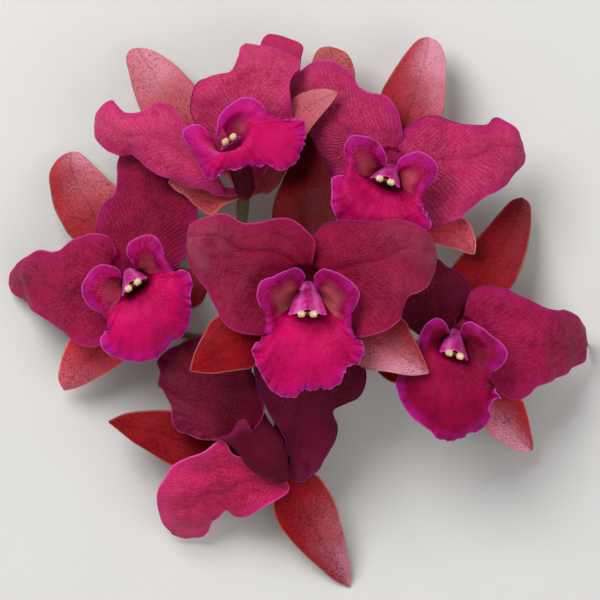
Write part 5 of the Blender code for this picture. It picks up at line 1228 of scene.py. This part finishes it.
def sepal_material(name, look):
    """Waxy brick-red sepal: dark flecks, a pale painted sheen towards its tip and to one margin, and a
    pale rim.
    """
    nodes = Nodes(name + "_sepal")
    vein, fan, space = veined(nodes, (24, 48), 0.2, 1.4)
    edge, along, aside = nodes.field("edge"), nodes.field("along"), nodes.field("aside")
    blotch = nodes.step(nodes.noise(80, 5.0, 0.65), 0.36, 0.64)
    colour = nodes.mix(blotch, linear(look["sepal"]), linear(look["sepal_warm"]))
    warm = nodes.step(edge, 0.3, 4.0, 0.5, 0.0)
    colour = nodes.mix(warm, colour, linear(look["sepal_warm"]))
    colour = nodes.mix(nodes.math("MULTIPLY", vein, 0.2), colour, linear(look["sepal_vein"]))
    grit = nodes.noise(1150, 3.0, 0.6)
    colour = nodes.mix(nodes.step(grit, 0.5, 0.68, 0.0, 0.36), colour, linear(look["sepal_vein"]))
    colour = nodes.mix(nodes.step(grit, 0.34, 0.5, 0.4, 0.0), colour, linear(look["sepal_dark"]))
    fleck = nodes.step(nodes.noise(1300, 3.0, 0.6), 0.48, 0.66)
    # Painted sheen: pale patches towards the tip, leaning to one margin, with dark flecks showing
    # through.
    sheen_patches = nodes.step(nodes.noise(60, 3.0, 0.5), 0.25, 0.70, 0.6, 1.0)
    sheen_reach = nodes.math("MULTIPLY", nodes.field("painted_sheen"), nodes.step(along, 0.1, 1.0))
    painted_sheen = nodes.math("MULTIPLY", sheen_patches, sheen_reach)
    painted_sheen = nodes.math("MULTIPLY", painted_sheen, nodes.step(nodes.noise(1500, 4.0, 0.7), 0.35, 0.65, 0.66, 1.0))
    colour = nodes.mix(nodes.step(painted_sheen, 0.0, 1.3, 0.0, 0.95), colour, linear(look["sepal_sheen"]))
    patch = nodes.step(nodes.noise(90, 3.0), 0.38, 0.60, 0.06, look["freckles"])
    colour = nodes.mix(nodes.math("MULTIPLY", fleck, patch), colour, linear(look["freckle"]))
    middle = nodes.step(aside, 0.05, 0.7, 0.22, 0.0)
    colour = nodes.mix(middle, colour, linear(look["freckle"]))
    colour = nodes.mix(nodes.step(edge, 0.05, 0.5, 0.65, 0.0), colour, linear(look["sepal_rim"]))
    back = nodes.mix(vein, linear(look["sepal_back"]), linear((150, 104, 86)))
    colour = nodes.mix(nodes.field("front"), back, colour)
    colour = with_painted_lightness(nodes, colour)
    rough = nodes.step(nodes.noise(260, 3.0), 0.3, 0.7, 0.34, 0.5)
    grain = nodes.math("MULTIPLY", nodes.noise(1400, 4.0, 0.6), 0.9)
    height = nodes.math("ADD", nodes.math("MULTIPLY", vein, 0.06), grain)
    return nodes.finish(colour, rough, height, 0.0003, Specular_IOR_Level=0.09,
                        Subsurface_Weight=0.05, Subsurface_Scale=0.0015,
                        Subsurface_Radius=(1.0, 0.15, 0.15))


def lip_material(name, look):
    """Lip: hot pink lobes with fine lines and a violet rim whose pale edge is partly a painted highlight,
    round a striped throat painted dark, partly as painted shade.
    """
    nodes = Nodes(name + "_lip")
    vein, fan, space = veined(nodes, (40, 80), 0.2, 1.0)
    edge, deep, lobe = nodes.field("edge"), nodes.field("deep"), nodes.field("lobe")
    blotch = nodes.step(nodes.noise(80, 5.0, 0.65), 0.36, 0.64)
    colour = nodes.mix(blotch, linear(look["lip_dark"]), linear(look["lip"]))
    side = nodes.mix(blotch, linear(look["ear_dark"]), linear(look["ear"]))
    colour = nodes.mix(lobe, side, colour)
    share = nodes.math("MULTIPLY", vein, nodes.step(nodes.noise(180, 4.0), 0.35, 0.65, 0.04, 0.22))
    colour = nodes.mix(share, colour, linear(look["lip_vein"]))
    speck = nodes.step(nodes.noise(1300, 3.0, 0.6), 0.42, 0.64, 0.0, 0.4)
    colour = nodes.mix(speck, colour, linear(look["lip_vein"]))
    inner = nodes.math("MULTIPLY", nodes.step(edge, 0.6 * look["inner"], look["inner"] + 6.0),
                       nodes.step(lobe, 0.0, 0.6, 1, 0))
    base = nodes.mix(nodes.math("MULTIPLY", vein, 0.45), linear(look["throat_side"]),
                     linear(look["throat_line"]))
    colour = nodes.mix(nodes.math("MULTIPLY", inner, 0.9), colour, base)
    violet = nodes.step(edge, 0.1, 5.0, 0.9, 0.0)
    violet = nodes.math("MULTIPLY", violet, nodes.step(nodes.noise(200, 3.0), 0.35, 0.65, 0.2, 1.0))
    colour = nodes.mix(violet, colour, linear(look["lip_rim"]))
    # Pale edge of the lip, partly a painted highlight on the frilled rim.
    pale = nodes.step(edge, 0.05, 0.5, 0.55, 0.0)
    colour = nodes.mix(pale, colour, linear(look["lip_edge_highlight"]))
    # Painted shade: deep in the throat the lip is painted dark, partly its own maroon and partly the
    # shade there; it starts deeper on the side lobes.
    start = nodes.step(lobe, 0.0, 0.8, 4.0, 0.0)
    dark = nodes.step(nodes.math("SUBTRACT", deep, start), 0.0, 1.8, 0.0, 0.95)
    gullet_and_shade = nodes.mix(nodes.math("MULTIPLY", vein, 0.5), linear(look["gullet_and_shade"]),
                       linear(look["gullet_line_and_shade"]))
    colour = nodes.mix(dark, colour, gullet_and_shade)
    back = nodes.mix(share, linear(look["tube"]), linear(look["lip_vein"]))
    back = nodes.mix(nodes.step(edge, 0.5, 6.0), linear(look["lip_rim"]), back)
    colour = nodes.mix(nodes.field("front"), back, colour)
    rough = nodes.step(nodes.noise(300, 3.0), 0.3, 0.7, 0.36, 0.55)
    grain = nodes.math("MULTIPLY", nodes.noise(1900, 3.0), 0.6)
    height = nodes.math("ADD", nodes.math("MULTIPLY", vein, 0.25), grain)
    return nodes.finish(colour, rough, height, 0.00026, Sheen_Weight=0.02, Sheen_Roughness=0.35,
                        Sheen_Tint=linear((255, 150, 225)), Specular_IOR_Level=0.08,
                        Subsurface_Weight=0.05, Subsurface_Scale=0.0015,
                        Subsurface_Radius=(1.0, 0.1, 0.35))


def column_material(name, look):
    """Glossy lilac column with a paler crest and flanks painted as highlights, and a dark red underside
    and hollow at its end that are partly painted shade.
    """
    nodes = Nodes(name + "_column")
    aside, along = nodes.field("aside"), nodes.field("along")
    colour = nodes.mix(nodes.step(nodes.noise(300, 3.0), 0.35, 0.65), linear(look["column_dark"]),
                       linear(look["column"]))
    away = nodes.math("ABSOLUTE", nodes.math("ADD", aside, nodes.math("MULTIPLY", 0.3,
                      nodes.math("SUBTRACT", nodes.noise(350, 3.0), 0.5))))
    # Painted highlight: pale streaks down both flanks of the column.
    off = nodes.math("ABSOLUTE", nodes.math("SUBTRACT", away, 0.5))
    pale = nodes.step(off, 0.0, 0.3, 0.55, 0.0)
    colour = nodes.mix(pale, colour, linear(look["column_highlight"]))
    crest = nodes.math("MULTIPLY", nodes.step(away, 0.02, 0.16, 0.7, 0.0),
                       nodes.step(along, 0.6, 0.95))
    colour = nodes.mix(crest, colour, linear((150, 10, 70)))
    # The underside and the hollow at the end are painted dark red: partly the column's own colour, partly
    # painted shade under it.
    dark_red_and_shade = linear(look["hollow"])
    colour = nodes.mix(nodes.step(nodes.field("under"), 0.3, 0.7), colour, dark_red_and_shade)
    colour = nodes.mix(nodes.step(along, 1.04, 1.12), colour, dark_red_and_shade)
    rough = nodes.step(nodes.noise(500, 2.0), 0.3, 0.7, 0.25, 0.4)
    return nodes.finish(colour, rough, nodes.noise(2000, 2.0), 0.00008, Coat_Weight=0.1,
                        Coat_Roughness=0.2, Specular_IOR_Level=0.35, Subsurface_Weight=0.08,
                        Subsurface_Scale=0.0015, Subsurface_Radius=(1.0, 0.2, 0.5))


def pollen_material():
    """Waxy cream pollen with a yellower cast in places."""
    nodes = Nodes("pollen")
    colour = nodes.mix(nodes.step(nodes.noise(700, 3.0), 0.3, 0.7), linear((222, 184, 132)),
                       linear((240, 218, 176)))
    rough = nodes.step(nodes.noise(900, 2.0), 0.3, 0.7, 0.3, 0.5)
    return nodes.finish(colour, rough, nodes.noise(2500, 3.0), 0.0001, Coat_Weight=0.15,
                        Subsurface_Weight=0.15, Subsurface_Scale=0.001,
                        Subsurface_Radius=(1.0, 0.7, 0.4))


def stalk_material():
    """Olive stalk with fine ribs and a purplish flush."""
    nodes = Nodes("stalk")
    colour = nodes.mix(nodes.step(nodes.noise(60, 4.0), 0.35, 0.65), linear((104, 104, 56)),
                       linear((136, 132, 80)))
    flush = nodes.step(nodes.noise(45, 3.0), 0.48, 0.66, 0.0, 0.55)
    colour = nodes.mix(flush, colour, linear((112, 52, 52)))
    speck = nodes.step(nodes.noise(900, 2.0), 0.6, 0.66, 0.0, 0.5)
    colour = nodes.mix(speck, colour, linear((74, 60, 36)))
    rough = nodes.step(nodes.noise(400, 2.0), 0.3, 0.7, 0.4, 0.6)
    return nodes.finish(colour, rough, nodes.noise(1600, 4.0), 0.0002, Subsurface_Weight=0.05,
                        Subsurface_Scale=0.001)


def floor_material():
    """Plain pale matt floor."""
    nodes = Nodes("floor")
    colour = nodes.mix(nodes.noise(30, 3.0), linear((226, 224, 220)), linear((232, 230, 227)))
    return nodes.finish(colour, 0.85, nodes.noise(400, 3.0), 0.0001)


def build_stage():
    """Camera straight overhead on a long lens, a pale floor, and soft light from above."""
    scene = bpy.context.scene
    camera = bpy.data.objects.new("camera", bpy.data.cameras.new("camera"))
    scene.collection.objects.link(camera)
    x, y = (IMAGE / 2 - GRID_X) * UNIT, (GRID_Y - IMAGE / 2) * UNIT
    camera.location = (x, y, CAMERA_HEIGHT + FACE_HEIGHT)
    camera.data.sensor_width = SENSOR
    camera.data.lens = SENSOR * CAMERA_HEIGHT / (IMAGE * UNIT)
    camera.data.clip_start = 0.1
    camera.data.clip_end = 50
    scene.camera = camera
    mesh = bpy.data.meshes.new("floor")
    half = FLOOR_SIZE / 2
    mesh.from_pydata([(-half, -half, 0), (half, -half, 0), (half, half, 0), (-half, half, 0)], [],
                     [(0, 1, 2, 3)])
    mesh.materials.append(floor_material())
    floor = bpy.data.objects.new("floor", mesh)
    scene.collection.objects.link(floor)
    for label, where, size, power in LIGHTS:
        data = bpy.data.lights.new(label, "AREA")
        data.shape = "DISK"
        data.size = size
        data.energy = power
        lamp = bpy.data.objects.new(label, data)
        lamp.location = where
        aim = mathutils.Vector(where) - mathutils.Vector((0, 0, FACE_HEIGHT))
        lamp.rotation_euler = aim.to_track_quat("Z", "Y").to_euler()
        scene.collection.objects.link(lamp)
    world = bpy.data.worlds.new("studio")
    world.use_nodes = True
    background = world.node_tree.nodes["Background"]
    background.inputs["Color"].default_value = (0.97, 0.98, 1.0, 1.0)
    background.inputs["Strength"].default_value = WORLD_LIGHT
    scene.world = world
    scene.view_settings.view_transform = "Standard"
    scene.view_settings.look = "None"


build_stage()
pollen_look = pollen_material()
for bloom_name, bloom_data in BLOOMS.items():
    look = {**LOOK, **LOOKS.get(bloom_name, {})}
    made = fine_bloom(bloom_name, bloom_data)
    made["petal"].data.materials.append(petal_material(bloom_name, look))
    made["sepal"].data.materials.append(sepal_material(bloom_name, look))
    made["lip"].data.materials.append(lip_material(bloom_name, look))
    made["column"].data.materials.append(column_material(bloom_name, look))
    made["pollen"].data.materials.append(pollen_look)
fine_stalk().data.materials.append(stalk_material())
